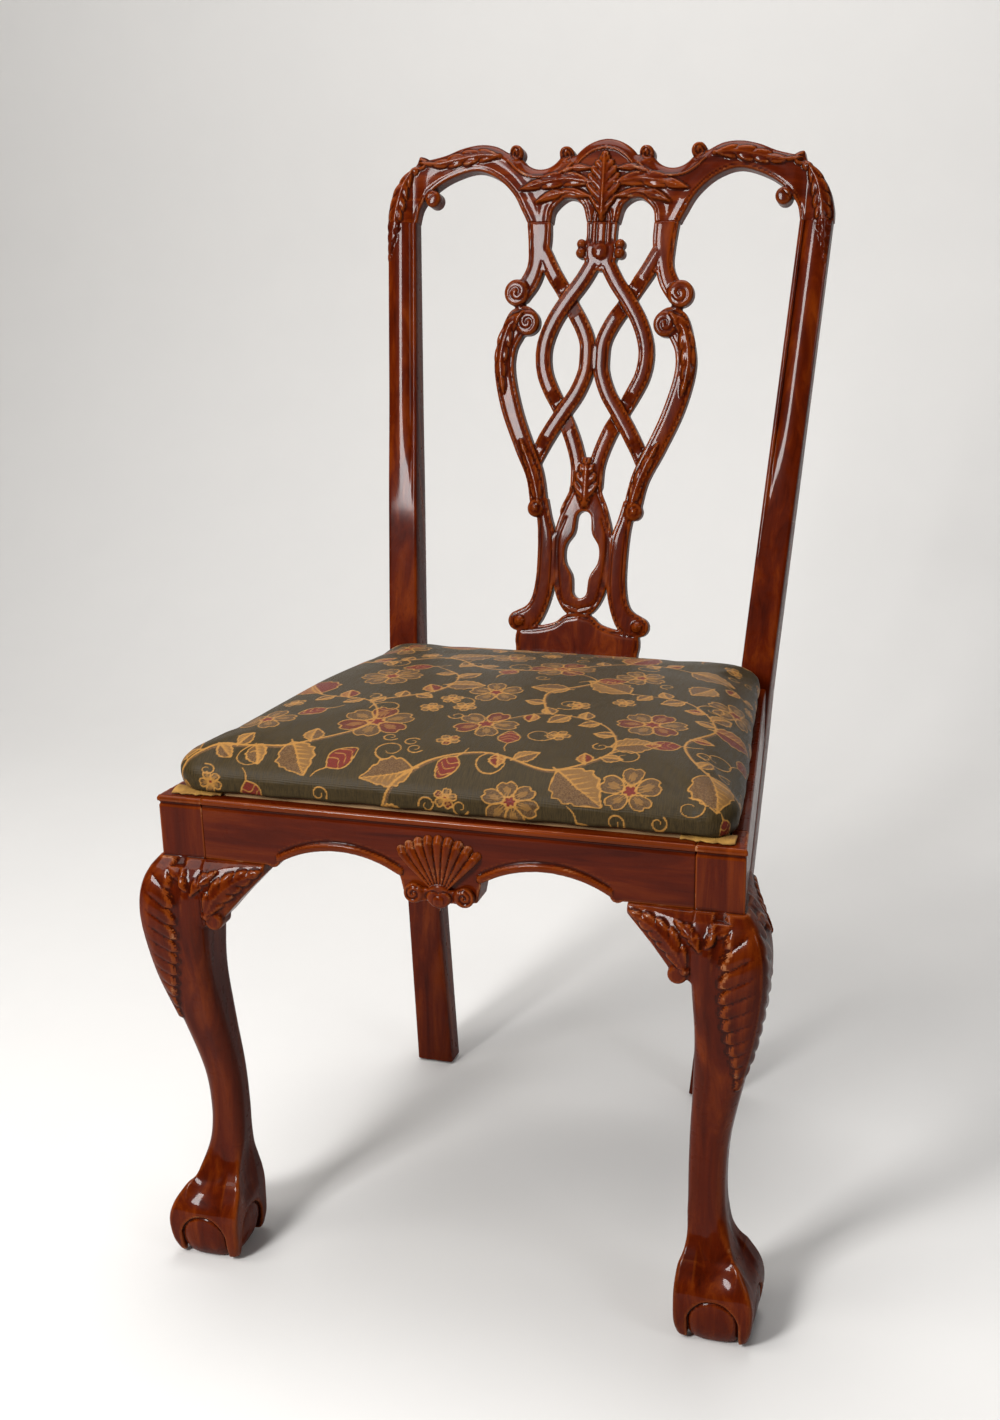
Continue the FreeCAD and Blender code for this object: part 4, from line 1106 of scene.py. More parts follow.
    def build(self) -> dict[str, Piece]:
        """Carve leg and brackets from one block, then part them where they are glued.

        Returns:
            The leg, its front bracket and its side bracket by name.
        """
        blank = Blank((160, -28, -2), (292, 106, 474), self.grid)
        self.limb(blank)
        self.wing(blank, True)
        self.wing(blank, False)
        self.claw(blank)
        self.carve(blank)
        x, y, z = blank.everywhere()
        low = SIZES.rail_bottom - self.bracket_drop - 6
        whole = np.maximum(blank.gap, z - SIZES.rail_bottom)
        stump = np.maximum(SIZES.rail_half - x, y - self.stump)
        within = -9.0
        core = np.maximum(whole, np.where(z > low, stump, within))
        side_face = (x - SIZES.front_half + SIZES.taper * y) / math.hypot(1, SIZES.taper)
        post = rounded_slab(most(side_face, -y, stump),
                            np.maximum(z - SIZES.seat_height, 400 - z), 0.8)
        pocket = most(side_face + SIZES.lip, SIZES.lip - y, SIZES.rebate_floor - z)
        bead = np.sqrt(np.clip(1 - ((z - SIZES.bead_height) / 2.5) ** 2, 0, 1))
        bead = bead - 0.9 * np.exp(-((1.7 * (z - SIZES.quirk_height) / 2.2) ** 2))
        post = post - bead * (1 - ease(1.0, 6.0, y))
        post = most(post, -pocket, SIZES.rail_bottom - 3 - z)
        parts = {"front_leg": np.minimum(core, post),
                 "front_knee_bracket": most(whole, x - SIZES.rail_half - self.lap, low - z),
                 "side_knee_bracket": most(whole, self.stump - self.lap - y, low - z)}
        wear_and_shade = np.minimum(whole, post).astype(np.float32)
        found = {}
        for name, gap in parts.items():
            blank.gap = gap.astype(np.float32)
            found[name] = blank.mesh(name, upright, wear_and_shade)
        return found


@dataclass
class FrontRail:
    """Front rail with its arched apron, raised mouldings and rebate."""

    grid: float = 1.1
    thickness: float = 28.0
    arch: Line = ((37, 418), (93.5, 434), (150, 418))

    def build(self) -> Piece:
        """Shape the right half, mirror it and mesh the whole."""
        half, low, high = SIZES.rail_half, SIZES.rail_bottom, SIZES.seat_height
        blank = Blank((-2 * self.grid, -5, 391), (half + 5, 31, 475), self.grid)
        x, y, z = blank.everywhere()
        ring = outline([[(-9, 394), (33, 399)], [(33, 399), self.arch[0]], self.arch,
                        [self.arch[2], (155, 413), (161, low)], [(161, low), (half + 9, low)],
                        [(half + 9, low), (half + 9, high)], [(half + 9, high), (-9, high)]])
        flat = front_view(ring_distance, x, z, ring)
        deep = np.maximum(-y, y - self.thickness)
        blank.gap = rounded_slab(flat, deep, 1.0).astype(np.float32)
        relief = Relief((-4, 390), (half + 2, 474))
        bead, quirk = ([tuple(p) for p in arc_line(*self.arch)[::2] + np.array([0, rise])]
                       for rise in (4.2, 9.4))
        relief.ridge(bead, (7.5, 7.5, 7.5, 6.0), (2.4, 2.4, 2.4, 1.2))
        relief.groove(quirk, 1.8, 0.8)
        bead, quirk = ([(run, height) for run in (-4, 100, half + 4)]
                       for height in (SIZES.bead_height, SIZES.quirk_height))
        relief.ridge(bead, (5.0, 5.0), (1.0, 1.0))
        relief.groove(quirk, 2.2, 0.9)
        blank.gap -= front_view(relief.at, x, z) * (1 - ease(1.0, 6.0, y))
        pocket = np.maximum(SIZES.lip - y, SIZES.rebate_floor - z)
        blank.gap = np.maximum(blank.gap, -pocket)
        blank.fold()
        wear_and_shade = blank.gap
        x = blank.everywhere()[0]
        blank.gap = np.maximum(wear_and_shade, np.abs(x) - half).astype(np.float32)
        return blank.mesh("front_seat_rail_shaped", upright, wear_and_shade)


@dataclass
class ApronShell:
    """Scallop shell on the apron: a fan of ribs over two scrolls."""

    grid: float = 0.8
    hinge: float = 402.0
    radius: float = 58.0
    ribs: int = 9
    spread: float = 80.0
    relief: float = 6.8
    scroll: Point = (23, 405)

    def build(self) -> Piece:
        """Shape the right half, mirror it and mesh the whole."""
        blank = Blank((-2 * self.grid, -10, 390), (40, 2, 466), self.grid)
        x, y, z = blank.everywhere()
        reach = np.hypot(x, z - self.hinge)
        turn = np.degrees(np.arctan2(x, np.maximum(z - self.hinge, 0.1)))
        step = self.spread / (self.ribs - 1)
        ridge = np.abs(np.cos(math.pi * turn / step))
        rim = self.radius - 5.0 * (1 - ridge**0.5)
        body = self.relief * np.interp(reach / rim, (0, 0.15, 0.7, 0.9, 1.0),
                                       (0.5, 0.6, 1.0, 0.85, 0.0))
        height = body * (0.5 + 0.5 * ridge**0.4)
        fan = most(-y - height, reach - rim, np.abs(turn) / 2 - self.spread / 4 - 2)
        blank.gap = np.maximum(fan, y).astype(np.float32)
        for centre, size, out in ((self.scroll, 9.0, 7.0), ((0, 404), 11.0, 6.2)):
            disc = np.hypot(x - centre[0], z - centre[1]) - size
            blank.gap = soft_min(blank.gap, rounded_slab(disc, np.maximum(-out - y, y), 2.6), 1.5)
        bridge = np.maximum(np.abs(z - 404) - 6, np.abs(x) - 23)
        blank.gap = soft_min(blank.gap, rounded_slab(bridge, np.maximum(-4.5 - y, y), 2.0), 2.0)
        carving = Relief((-2, 388), (42, 466))
        carving.volute(self.scroll, 7.4, -1.3, 120, 2.0, 1.3)
        carving.dome((0, 400), 5.0, 1.4)
        carving.groove([(0, 408), (7, 409), (12, 404), (11, 397)], 1.8, 1.0)
        blank.gap -= front_view(carving.at, x, z)
        blank.gap = np.maximum(blank.gap, y)
        blank.fold()
        return blank.mesh("apron_shell_carved", upright)


def wrapped(name: str, rings: Array) -> Piece:
    """A closed tube through rings of points, modelled by wrapping a grid round them.

    Args:
        name: The piece's name.
        rings: Points in the row frame, one row per ring, all rings with the same count.

    Returns:
        The object with its ends closed.
    """
    obj = bent_grid(name, np.concatenate([rings, rings[:, :1]], axis=1))
    with editing("SELECT"):
        bpy.ops.mesh.remove_doubles(threshold=0.00005)
        bpy.ops.mesh.select_all(action="DESELECT")
        bpy.ops.mesh.select_non_manifold()
        bpy.ops.mesh.fill_holes(sides=0)
        bpy.ops.mesh.select_all(action="SELECT")
        bpy.ops.mesh.normals_make_consistent(inside=False)
    bpy.ops.object.shade_smooth_by_angle(angle=math.radians(40))
    return obj


@dataclass
class BackPost:
    """Right rear leg and upright: moulded front above, plain and square below."""

    width: float = 33.0
    foot_width: float = 42.0
    foot_half: float = 182.0
    top_half: float = 240.0
    foot: float = 3.0
    fine_from: float = 880.0
    front_line: Line = ((409, 3), (444, 400), (444, 472), (568.1, 933))
    back_line: Line = ((436, 3), (480, 400), (480, 467.2), (589.4, 927.3))
    bend: int = 34

    def line(self, corners: Line) -> Array:
        """Side view of one face, rounded at its bends, at even shares of each straight run."""
        ends = np.array(corners, float)
        runs = [np.linspace(a, b, 240, endpoint=False) for a, b in zip(ends, ends[1:])]
        dense = np.vstack(runs + [ends[-1:]])
        dense = np.pad(dense, ((self.bend, self.bend), (0, 0)), mode="reflect",
                       reflect_type="odd")
        box = np.ones(2 * self.bend + 1) / (2 * self.bend + 1)
        return np.stack([np.convolve(dense[:, k], box, mode="valid") for k in (0, 1)], axis=1)

    @staticmethod
    def face(across: Array) -> Array:
        """Depths of the moulded front: a crown, and a bead and a groove at its inner edge."""
        over = (across - SIZES.post_bead) / (1 - SIZES.post_bead)
        crown = SIZES.post_crown * (2 * over - 1) ** 2
        bead = 0.8 + 0.9 * ((across - 0.09) / 0.07) ** 2
        groove = 1.3 * np.exp(-(((across - 0.19) / 0.035) ** 2))
        return np.where(across < SIZES.post_bead, bead, crown) + groove

    def ring(self, z: float, front: Array, back: Array, relief: Relief) -> list[Spot]:
        """A closed ring round the post at a height, from its front and back in the side view."""
        outer = self.foot_half + (self.top_half - self.foot_half) / SIZES.board_seam * z
        deep = np.hypot(*(back - front))
        wide = float(np.interp(z, (self.foot, SIZES.rail_bottom), (self.foot_width, self.width)))
        inner = outer - wide
        moulded = float(ease(640, 760, np.array(z)))
        r = 2.0 + 1.5 * moulded
        corner = np.radians(np.linspace(0, 90, 5))
        across = np.linspace(0.07, 0.93, 27)
        x = outer - wide * (1 - across)
        depth = moulded * self.face(across) - relief.at(x, z + 0 * x)
        first, last = depth[0], depth[-1]
        ring = list(zip(x, depth)) + [(outer - 0.6, last + 0.9), (outer, last + 2.6)]
        ring += [(outer, deep * 0.35), (outer, deep * 0.7)]
        ring += [(outer - r * (1 - math.cos(a)), deep - r * (1 - math.sin(a))) for a in corner]
        ring += [(outer - wide * s, deep) for s in (0.3, 0.5, 0.7)]
        ring += [(inner + r * (1 - math.sin(a)), deep - r * (1 - math.cos(a))) for a in corner]
        ring += [(inner, deep * 0.7), (inner, deep * 0.35)]
        ring += [(inner, first + 2.6), (inner + 0.6, first + 0.9)]
        way = (back - front) / deep
        return [(a, front[0] + way[0] * d, front[1] + way[1] * d) for a, d in ring]

    def build(self, relief: Relief) -> Piece:
        """Loft the post through rounded, moulded rings.

        Args:
            relief: The shoulder's leaf, which runs on down the post's top.

        Returns:
            The right post.
        """
        front, back = self.line(self.front_line), self.line(self.back_line)
        heights = np.concatenate([np.arange(self.foot, self.fine_from, 6.0),
                                  np.arange(self.fine_from, SIZES.board_seam, 1.1),
                                  [SIZES.board_seam]])
        rings = []
        for z in heights:
            f, b = (np.array([np.interp(z, front[:, 1], line[:, k]) for k in (0, 1)])
                    for line in (front, back))
            rings.append(self.ring(z, f, b, relief))
        shape = np.array(rings)
        spots = upright(shape.reshape(-1, 3)).reshape(shape.shape)
        return wrapped("right_back_post_moulded", spots)


class Motifs:
    """Maps of woven colour over the unrolled seat cover: gold, brown and red yarn.

    A motif's row has its place, its turn in degrees and its size, then petals, red or hand.
    """

    VINES = (
        (3.0, ((-275, -20), (-214, 34), (-150, 40), (-96, 92), (-118, 152), (-180, 176),
              (-214, 236))),
        (3.0, ((-60, -40), (-34, 20), (24, 52), (92, 34), (134, 74), (112, 132), (54, 150),
              (10, 118))),
        (3.0, ((282, 30), (224, 52), (190, 108), (206, 168), (170, 226), (112, 232))),
        (3.0, ((-228, 330), (-160, 300), (-96, 322), (-40, 280), (26, 298), (84, 350),
              (150, 340), (214, 300))),
        (2.8, ((-118, 152), (-66, 190), (-60, 240), (-96, 282))),
        (2.8, ((54, 150), (40, 206), (74, 258), (26, 298))),
        (3.0, ((-120, 440), (-88, 396), (-24, 388), (30, 420), (92, 408), (140, 440))))
    LEAVES = (
        (-232, 26, 160, 50, False), (-150, 44, -60, 46, False), (-178, 178, 120, 58, True),
        (-30, 24, 200, 48, False), (96, 34, -40, 58, False), (130, 84, 20, 44, False),
        (222, 54, -70, 54, False), (204, 166, 10, 46, True), (112, 232, 150, 52, False),
        (-216, 238, 100, 52, False), (-96, 320, 40, 50, False), (84, 350, 70, 54, True),
        (-24, 388, 130, 46, False), (150, 340, -20, 48, False), (-62, 212, 0, 38, False),
        (56, 224, 190, 36, False), (-88, 396, 200, 40, True), (180, 290, 250, 38, False))
    FLOWERS = (
        (-196, 92, 10, 27, 5, False), (-92, 100, 30, 34, 6, True), (8, 114, 0, 29, 5, True),
        (162, 20, 20, 26, 5, False), (62, -6, 44, 25, 6, False), (152, 150, 15, 31, 6, True),
        (-128, 238, 0, 30, 6, False), (-8, 196, 33, 25, 5, False), (28, 300, 12, 32, 6, True),
        (-160, 366, 0, 26, 5, True), (110, 290, 50, 24, 5, False), (212, 236, 22, 26, 5, False),
        (-240, 160, 40, 22, 5, True), (60, 402, 5, 26, 5, True), (-36, 344, 20, 22, 5, False))
    BUDS = (
        (-108, 18, 50, 32), (-252, 84, 80, 30), (188, 104, 200, 32), (40, 74, 100, 28),
        (-150, 126, 220, 28), (240, 112, 60, 30), (-100, 282, 200, 30), (74, 258, 30, 30),
        (-200, 296, 60, 28), (4, 42, 250, 28), (150, 400, 100, 28), (-20, 258, 80, 26),
        (120, -20, 300, 28), (-180, -8, 290, 28), (250, 0, 330, 26))
    TENDRILS = (
        (-176, 38, 250, 16, 1), (-60, 30, 80, 15, -1), (30, 52, 300, 17, 1),
        (134, 70, 340, 15, -1), (206, 90, 30, 17, 1), (-110, 130, 20, 16, -1),
        (-206, 214, 190, 15, 1), (60, 166, 60, 15, 1), (186, 206, 60, 16, -1),
        (-70, 310, 300, 15, 1), (-8, 286, 110, 15, -1), (116, 346, 250, 16, 1),
        (-136, 304, 240, 15, -1), (4, 404, 260, 14, 1), (-270, 10, 20, 16, 1),
        (78, 104, 200, 16, -1), (-30, 150, 100, 15, 1), (212, 20, 280, 15, -1))

    def __init__(self, low: Point, high: Point, step: float = 0.6) -> None:
        """Empty maps between two corners, in millimetres."""
        self.gold, self.brown, self.red = (Relief(low, high, step) for _ in range(3))
        self.taken: list[Spot] = []
        self.stems: list[Array] = []

    def vine(self, points: Line, width: float) -> None:
        """Long stem that thins towards its end, with a brown shadow beside it."""
        self.stems.append(smooth_line(points))
        self.gold.ridge(points, (width, 0.9 * width, 0.5 * width), (1.4, 1.4, 1.2))
        beside = [(x + 1.6, y - 1.8) for x, y in points]
        self.brown.ridge(beside, (width, width, 0.6 * width), (0.9, 0.9, 0.7))

    def sprigs(self, pitch: float = 17.0, size: float = 19.0) -> None:
        """Small leaves in turn on both sides of the stems, where nothing else is."""
        for line in self.stems:
            lengths = np.concatenate([[0], np.cumsum(np.hypot(*np.diff(line, axis=0).T))])
            for i, far in enumerate(np.arange(0.7 * pitch, lengths[-1], pitch)):
                spot = [float(np.interp(far, lengths, line[:, k])) for k in (0, 1)]
                ahead = [float(np.interp(far + 3, lengths, line[:, k])) for k in (0, 1)]
                turn = math.degrees(math.atan2(ahead[1] - spot[1], ahead[0] - spot[0]))
                turn += 62 if i % 2 else -62
                middle = self.spread([(0.6, 0)], spot, turn, size)[0]
                room = min(math.hypot(middle[0] - x, middle[1] - y) - r for x, y, r in self.taken)
                if room >= 0.42 * size:
                    self.leaf(spot, turn, size * (1.0 if i % 3 else 1.3), i % 5 == 3)

    def scatter(self, pitch: float = 27.0) -> None:
        """Small round blossoms and curls in the ground that is still empty."""
        rows = np.arange(-40, 470, pitch)
        for i, y in enumerate(rows):
            for j, x in enumerate(np.arange(-280 + (i % 2) * pitch / 2, 290, pitch)):
                spot = (x + 6 * math.sin(5.1 * i + 2.3 * j), y + 6 * math.sin(3.7 * j + 1.9 * i))
                stems = min(np.min(np.hypot(*(line - np.array(spot)).T)) for line in self.stems)
                room = min(math.hypot(spot[0] - a, spot[1] - b) - r for a, b, r in self.taken)
                room = min(room, float(stems))
                if room > 13.5:
                    self.flower(spot, 40 * (i + j), 10.5, 5, (i + 2 * j) % 3 == 0)
                elif room > 9.5:
                    self.tendril(spot, 73.0 * (i + j), 8.0, 1 if (i + j) % 2 else -1)
                    self.taken.append((*spot, 9.0))

    def tendril(self, root: Point, turn: float, size: float, hand: int) -> None:
        """Thin stem that curls up in a spiral."""
        share = np.linspace(0, 1, 12)
        angle = math.radians(turn) + hand * share * 7.2
        reach = size * (1 - 0.72 * share)
        middle = (root[0] + size * math.cos(math.radians(turn)),
                  root[1] + size * math.sin(math.radians(turn)))
        curl = [(middle[0] - r * math.cos(t), middle[1] - r * math.sin(t))
                for r, t in zip(reach, angle)]
        self.gold.ridge(curl, (2.2, 1.9, 1.4), (1.3, 1.3, 1.1))

    def spread(self, spots: Line, at: Point, turn: float, size: float) -> list[Point]:
        """A motif's own points, sized, turned and moved to their place."""
        c, s = math.cos(math.radians(turn)), math.sin(math.radians(turn))
        return [(at[0] + size * (x * c - y * s), at[1] + size * (x * s + y * c)) for x, y in spots]

    def stroke(self, spots: Line, at: Point, turn: float, size: float,
               width: Sequence[float], height: Sequence[float]) -> None:
        """Gold line along a motif's own points, sized, turned and moved."""
        self.gold.ridge(self.spread(spots, at, turn, size), width, height)

    def fill(self, layer: Relief, ring: Line, amount: float) -> None:
        """Colour the inside of a ring."""
        points = np.array(ring)
        cut, a, b = layer.window(points, 1)
        layer.raise_to(cut, amount * inside(a, b, points))

    def leaf(self, at: Point, turn: float, size: float, ruddy: bool = False) -> None:
        """Pointed leaf with a scalloped edge, a pale half and slanting veins."""
        share = np.linspace(0, 1, 15)
        bulge = 0.36 * np.sin(math.pi * share**0.8) * (1 + 0.10 * np.cos(share * 34))
        upper = list(zip(share, bulge))
        lower = [(x, -y) for x, y in reversed(upper)]
        ring = self.spread(upper + lower[1:], at, turn, size)
        self.taken.append((*self.spread([(0.5, 0)], at, turn, size)[0], 0.55 * size))
        self.fill(self.red if ruddy else self.brown, ring, 0.75)
        self.fill(self.gold, self.spread(upper + [(0.5, 0.02)], at, turn, size), 0.52)
        self.gold.ridge(ring + ring[:1], (2.0, 2.0), (1.3, 1.3))
        self.stroke([(-0.1, 0), (0.5, 0.03), (1, 0)], at, turn, size, (2.2, 1.4), (1.3, 1.2))
        for i in range(7):
            start = 0.14 + 0.11 * i
            reach = 0.30 * math.sin(math.pi * min(1, start + 0.1) ** 0.8)
            vein = [(start, 0.01), (start + 0.09, 0.5 * reach), (start + 0.15, 0.86 * reach)]
            self.stroke(vein, at, turn, size, (1.8, 1.4, 0.9), (1.1, 1.0, 0.7))
            if i % 2 == 0:
                under = [(start, -0.01), (start + 0.1, -0.7 * reach)]
                self.stroke(under, at, turn, size, (1.2, 0.9), (0.6, 0.4))

    def flower(self, at: Point, turn: float, size: float, petals: int, ruddy: bool = False) -> None:
        """Open flower: rounded petals with rays, round a dotted heart."""
        self.taken.append((*at, 1.1 * size))
        for i in range(petals):
            angle = turn + 360 * i / petals
            petal = [(0.16, 0), (0.42, 0.26), (0.78, 0.34), (1.0, 0.16), (0.93, 0), (1.0, -0.16),
                     (0.78, -0.34), (0.42, -0.26)]
            ring = self.spread(petal, at, angle, size)
            self.fill(self.red if ruddy and i % 2 else self.brown, ring, 0.6)
            core = [(0.3, 0), (0.6, 0.16), (0.86, 0.0), (0.6, -0.16)]
            self.fill(self.gold, self.spread(core, at, angle, size), 0.55)
            self.gold.ridge(ring + ring[:1], (1.9, 1.9), (1.3, 1.3))
            for side in (-0.14, 0.0, 0.14):
                ray = [(0.3, side * 0.6), (0.78, side)]
                self.stroke(ray, at, angle, size, (1.3, 0.9), (0.9, 0.6))
        heart = self.spread([(math.cos(t), math.sin(t)) for t in np.linspace(0, 5.8, 9)], at, 0,
                            0.24 * size)
        self.fill(self.red, heart, 0.9)
        self.gold.ridge(heart + heart[:1], (1.7, 1.7), (1.2, 1.2))

    def bud(self, at: Point, turn: float, size: float) -> None:
        """Closed bud with overlapping scales on a short stalk."""
        self.taken.append((*self.spread([(0.4, 0)], at, turn, size)[0], 0.8 * size))
        shape = [(0, 0), (0.25, 0.3), (0.6, 0.32), (1.0, 0.0), (0.6, -0.32), (0.25, -0.3)]
        ring = self.spread(shape, at, turn, size)
        self.fill(self.red, ring, 0.85)
        self.gold.ridge(ring + ring[:1], (1.9, 1.9), (1.3, 1.3))
        for x in (0.3, 0.52, 0.74):
            scale = [(x - 0.1, 0.26), (x + 0.08, 0), (x - 0.1, -0.26)]
            self.stroke(scale, at, turn, size, (1.5, 1.5), (1.0, 1.0))
        self.stroke([(0, 0), (-0.3, 0.06), (-0.6, 0)], at, turn, size, (2.2, 1.6), (1.3, 1.2))

    def draw(self) -> None:
        """Lay the vines over the seat and set leaves, flowers and buds along them."""
        for width, points in self.VINES:
            self.vine(points, width)
        for x, y, turn, size, ruddy in self.LEAVES:
            self.leaf((x, y), turn, size, ruddy)
        for x, y, turn, size, petals, ruddy in self.FLOWERS:
            self.flower((x, y), turn, size, petals, ruddy)
        for x, y, turn, size in self.BUDS:
            self.bud((x, y), turn, size)
        for x, y, turn, size, hand in self.TENDRILS:
            self.tendril((x, y), turn, size, hand)
        self.sprigs()
        self.scatter()


@dataclass(frozen=True)
class Jacquard:
    """Olive sateen with gold, brown and red yarn woven into it."""

    ground: Spot = (0.045, 0.029, 0.010)
    shade: Spot = (0.022, 0.0145, 0.005)
    gold: Spot = (0.34, 0.163, 0.034)
    brown: Spot = (0.090, 0.038, 0.015)
    red: Spot = (0.155, 0.013, 0.009)
    gold_fleck: Spot = (0.23, 0.105, 0.026)
    brown_fleck: Spot = (0.17, 0.088, 0.034)
    red_fleck: Spot = (0.085, 0.014, 0.009)

    def material(self) -> Finish:
        """Fine weft streaks, woven motifs that stand up a little, and a soft sheen."""
        n = Nodes("floral_jacquard")
        streaks = n.noise(n.place((1300.0, 50.0, 160.0)), 1.0, 3.0, 0.6)
        cloth = n.ramp(streaks, [(0.34, self.shade), (0.66, self.ground)])
        flecks = n.noise(n.place((700.0, 1400.0, 700.0)), 1.0, 2.0)
        cloth = n.mix(n.range(n.attribute("brown"), 0.1, 1.0, 0.0, 0.85), cloth,
                      n.mix(n.range(flecks, 0.42, 0.58, 0.0, 1.0), self.brown,
                            self.brown_fleck))
        cloth = n.mix(n.range(n.attribute("red"), 0.1, 1.0, 0.0, 0.95), cloth,
                      n.mix(n.range(flecks, 0.42, 0.6, 0.0, 0.7), self.red, self.red_fleck))
        yarn = n.mix(n.range(flecks, 0.36, 0.6, 0.0, 0.6), self.gold, self.gold_fleck)
        cloth = n.mix(n.range(n.attribute("gold"), 0.35, 0.95, 0.0, 1.0), cloth, yarn)
        normal = n.bump(n.wave("Y", 420.0, 1.2), 0.25, 0.0003)
        normal = n.bump(flecks, 0.35, 0.0003, normal)
        normal = n.bump(n.attribute("gold"), 0.5, 0.0005, normal)
        return n.dress(Base_Color=cloth, Roughness=n.range(streaks, 0.3, 0.7, 0.38, 0.56),
                       Normal=normal, Specular_IOR_Level=0.10, Sheen_Weight=0.025,
                       Sheen_Roughness=0.4)


@dataclass
class SeatCushion:
    """Stuffed pad of the drop-in seat in its woven cover."""

    low: float = 473.6
    crown: float = 48.0
    front: float = 14.5
    rear: float = 427.0
    inset: float = 15.5
    corner: float = 17.0
    rear_drop: float = 0.2
    grid: float = 5.0
    swell_cap: float = 5.0
    frames: int = 20
    levels: Sequence[tuple] = (
        (-0.30, -1.0), (0.00, -4.0), (0.12, -10.0), (0.27, -13.5), (0.42, -13.5), (0.55, -9.5),
        (0.66, -1.0), (0.75, 12.5), (0.84, 40.0), (0.93, 90.0), (0.99, 150.0), (1.05, 230.0))

    def plan(self, x: Array, y: Array) -> Array:
        """Distance to the cushion's rounded plan, negative inside it."""
        r = self.corner
        near, far = self.front + r, self.rear - r
        wide, narrow = (SIZES.side_x(at, self.inset + r) for at in (near, far))
        ring = np.array([(wide, near), (narrow, far), (-narrow, far), (-wide, near)])
        return ring_distance(x, y, ring) - r

    def form(self) -> Piece:
        """The closed, crowned form before it is swelled."""
        blank = Blank((-275, -2, 466), (275, 456, 530), self.grid)
        x, y, z = blank.everywhere()
        flat = self.plan(x[:, :, 0], y[:, :, 0])[:, :, None]
        share = (z - self.low) / (self.crown * (1 - self.rear_drop * ease(230, 440, y)))
        table = np.array(self.levels)
        step_in = np.interp(share, table[:, 0], table[:, 1])
        side = flat + step_in
        steep = np.gradient(step_in, self.grid, axis=2)
        blank.gap = (np.maximum(side / np.hypot(1, steep), self.low - z)).astype(np.float32)
        return blank.mesh("seat_cushion", upright)

    def swell(self, obj: Piece) -> None:
        """Fill the cover with pressure, its lower edge held, and cap how far it moves."""
        remesh = obj.modifiers.new("even_cloth", "REMESH")
        remesh.mode = "VOXEL"
        remesh.voxel_size = self.grid * MM
        bpy.ops.object.modifier_apply(modifier=remesh.name)
        before = np.array([v.co for v in obj.data.vertices])
        held = obj.vertex_groups.new(name="held_edge")
        height = before[:, 2] / MM
        for index, z in enumerate(height):
            weight = float(1 - ease(self.low + 2, self.low + 10, np.array(z)))
            if weight > 0:
                held.add([index], weight, "REPLACE")
        cloth = obj.modifiers.new("stuffing", "CLOTH")
        settings = cloth.settings
        settings.quality = 5
        settings.mass = 0.35
        settings.tension_stiffness = settings.compression_stiffness = 25
        settings.bending_stiffness = 1.5
        settings.use_pressure = True
        settings.uniform_pressure_force = 4.0
        settings.vertex_group_mass = held.name
        settings.effector_weights.gravity = 0.0
        cloth.point_cache.frame_start, cloth.point_cache.frame_end = 1, self.frames
        scene = bpy.context.scene
        for step in range(1, self.frames + 1):
            scene.frame_set(step)
            obj.evaluated_get(bpy.context.evaluated_depsgraph_get())
        bpy.ops.object.modifier_apply(modifier=cloth.name)
        scene.frame_set(1)
        after = np.array([v.co for v in obj.data.vertices])
        move = after - before
        length = np.maximum(np.linalg.norm(move, axis=1, keepdims=True), 1e-9)
        cap = self.swell_cap * MM
        after = before + move * (cap * np.tanh(length / cap) / length)
        obj.data.vertices.foreach_set("co", after.reshape(-1).astype(np.float32))

    def refine(self, obj: Piece) -> None:
        """Open the hidden underside and round the cloth finely."""
        bpy.ops.object.mode_set(mode="EDIT")
        bpy.ops.mesh.select_all(action="DESELECT")
        bpy.ops.object.mode_set(mode="OBJECT")
        for face in obj.data.polygons:
            face.select = face.normal.z < -0.8 and face.center.z < (self.low + 4) * MM
        bpy.ops.object.mode_set(mode="EDIT")
        bpy.ops.mesh.delete(type="FACE")
        bpy.ops.object.mode_set(mode="OBJECT")
        smooth = obj.modifiers.new("settle", "SMOOTH")
        smooth.factor = 0.5
        smooth.iterations = 4
        fine = obj.modifiers.new("fine_cloth", "SUBSURF")
        fine.levels = fine.render_levels = 2
        for modifier in (smooth, fine):
            bpy.ops.object.modifier_apply(modifier=modifier.name)

    def puckers(self, obj: Piece) -> None:
        """Draw the cloth in a little where it is pulled round the seat's lower edge."""
        count = len(obj.data.vertices)
        spots = np.zeros(3 * count, dtype=np.float32)
        normals = np.zeros(3 * count, dtype=np.float32)
        obj.data.vertices.foreach_get("co", spots)
        obj.data.vertices.foreach_get("normal", normals)
        spots, normals = spots.reshape(-1, 3), normals.reshape(-1, 3)
        x, y, z = (spots / MM).T
        edge = 1 - ease(self.low + 4, self.low + 26, z)
        wave = np.sin(x / 9.0 + 1.7 * np.sin(y / 23.0))
        wave += 0.7 * np.sin(y / 7.5 + 1.3 * np.sin(x / 31.0))
        rest = 0.35 * np.sin(x / 57.0 + 0.6) * np.sin(y / 49.0 + 1.1)
        lift = (0.55 * wave * edge + rest) * MM
        spots += normals * lift[:, None]
        obj.data.vertices.foreach_set("co", spots.reshape(-1))

    def pattern(self, obj: Piece) -> None:
        """Carry the motifs onto the cloth, unrolled over its edges."""
        spots = np.array([v.co for v in obj.data.vertices]) / MM
        x, y, z = spots[:, 0], spots[:, 1] - SHIFT, spots[:, 2]
        step = 1.0
        here = self.plan(x, y)
        out = np.stack([self.plan(x + step, y) - here, self.plan(x, y + step) - here], axis=1)
        out /= np.maximum(np.linalg.norm(out, axis=1, keepdims=True), 1e-6)
        past = np.maximum(0, self.low + 0.66 * self.crown - z) * ease(-16, -4, here)
        u, v = x + out[:, 0] * past, y + out[:, 1] * past
        motifs = Motifs((-310, -70), (310, 480))
        motifs.draw()
        carry(obj, gold=motifs.gold.at(u, v), brown=motifs.brown.at(u, v),
              red=motifs.red.at(u, v))

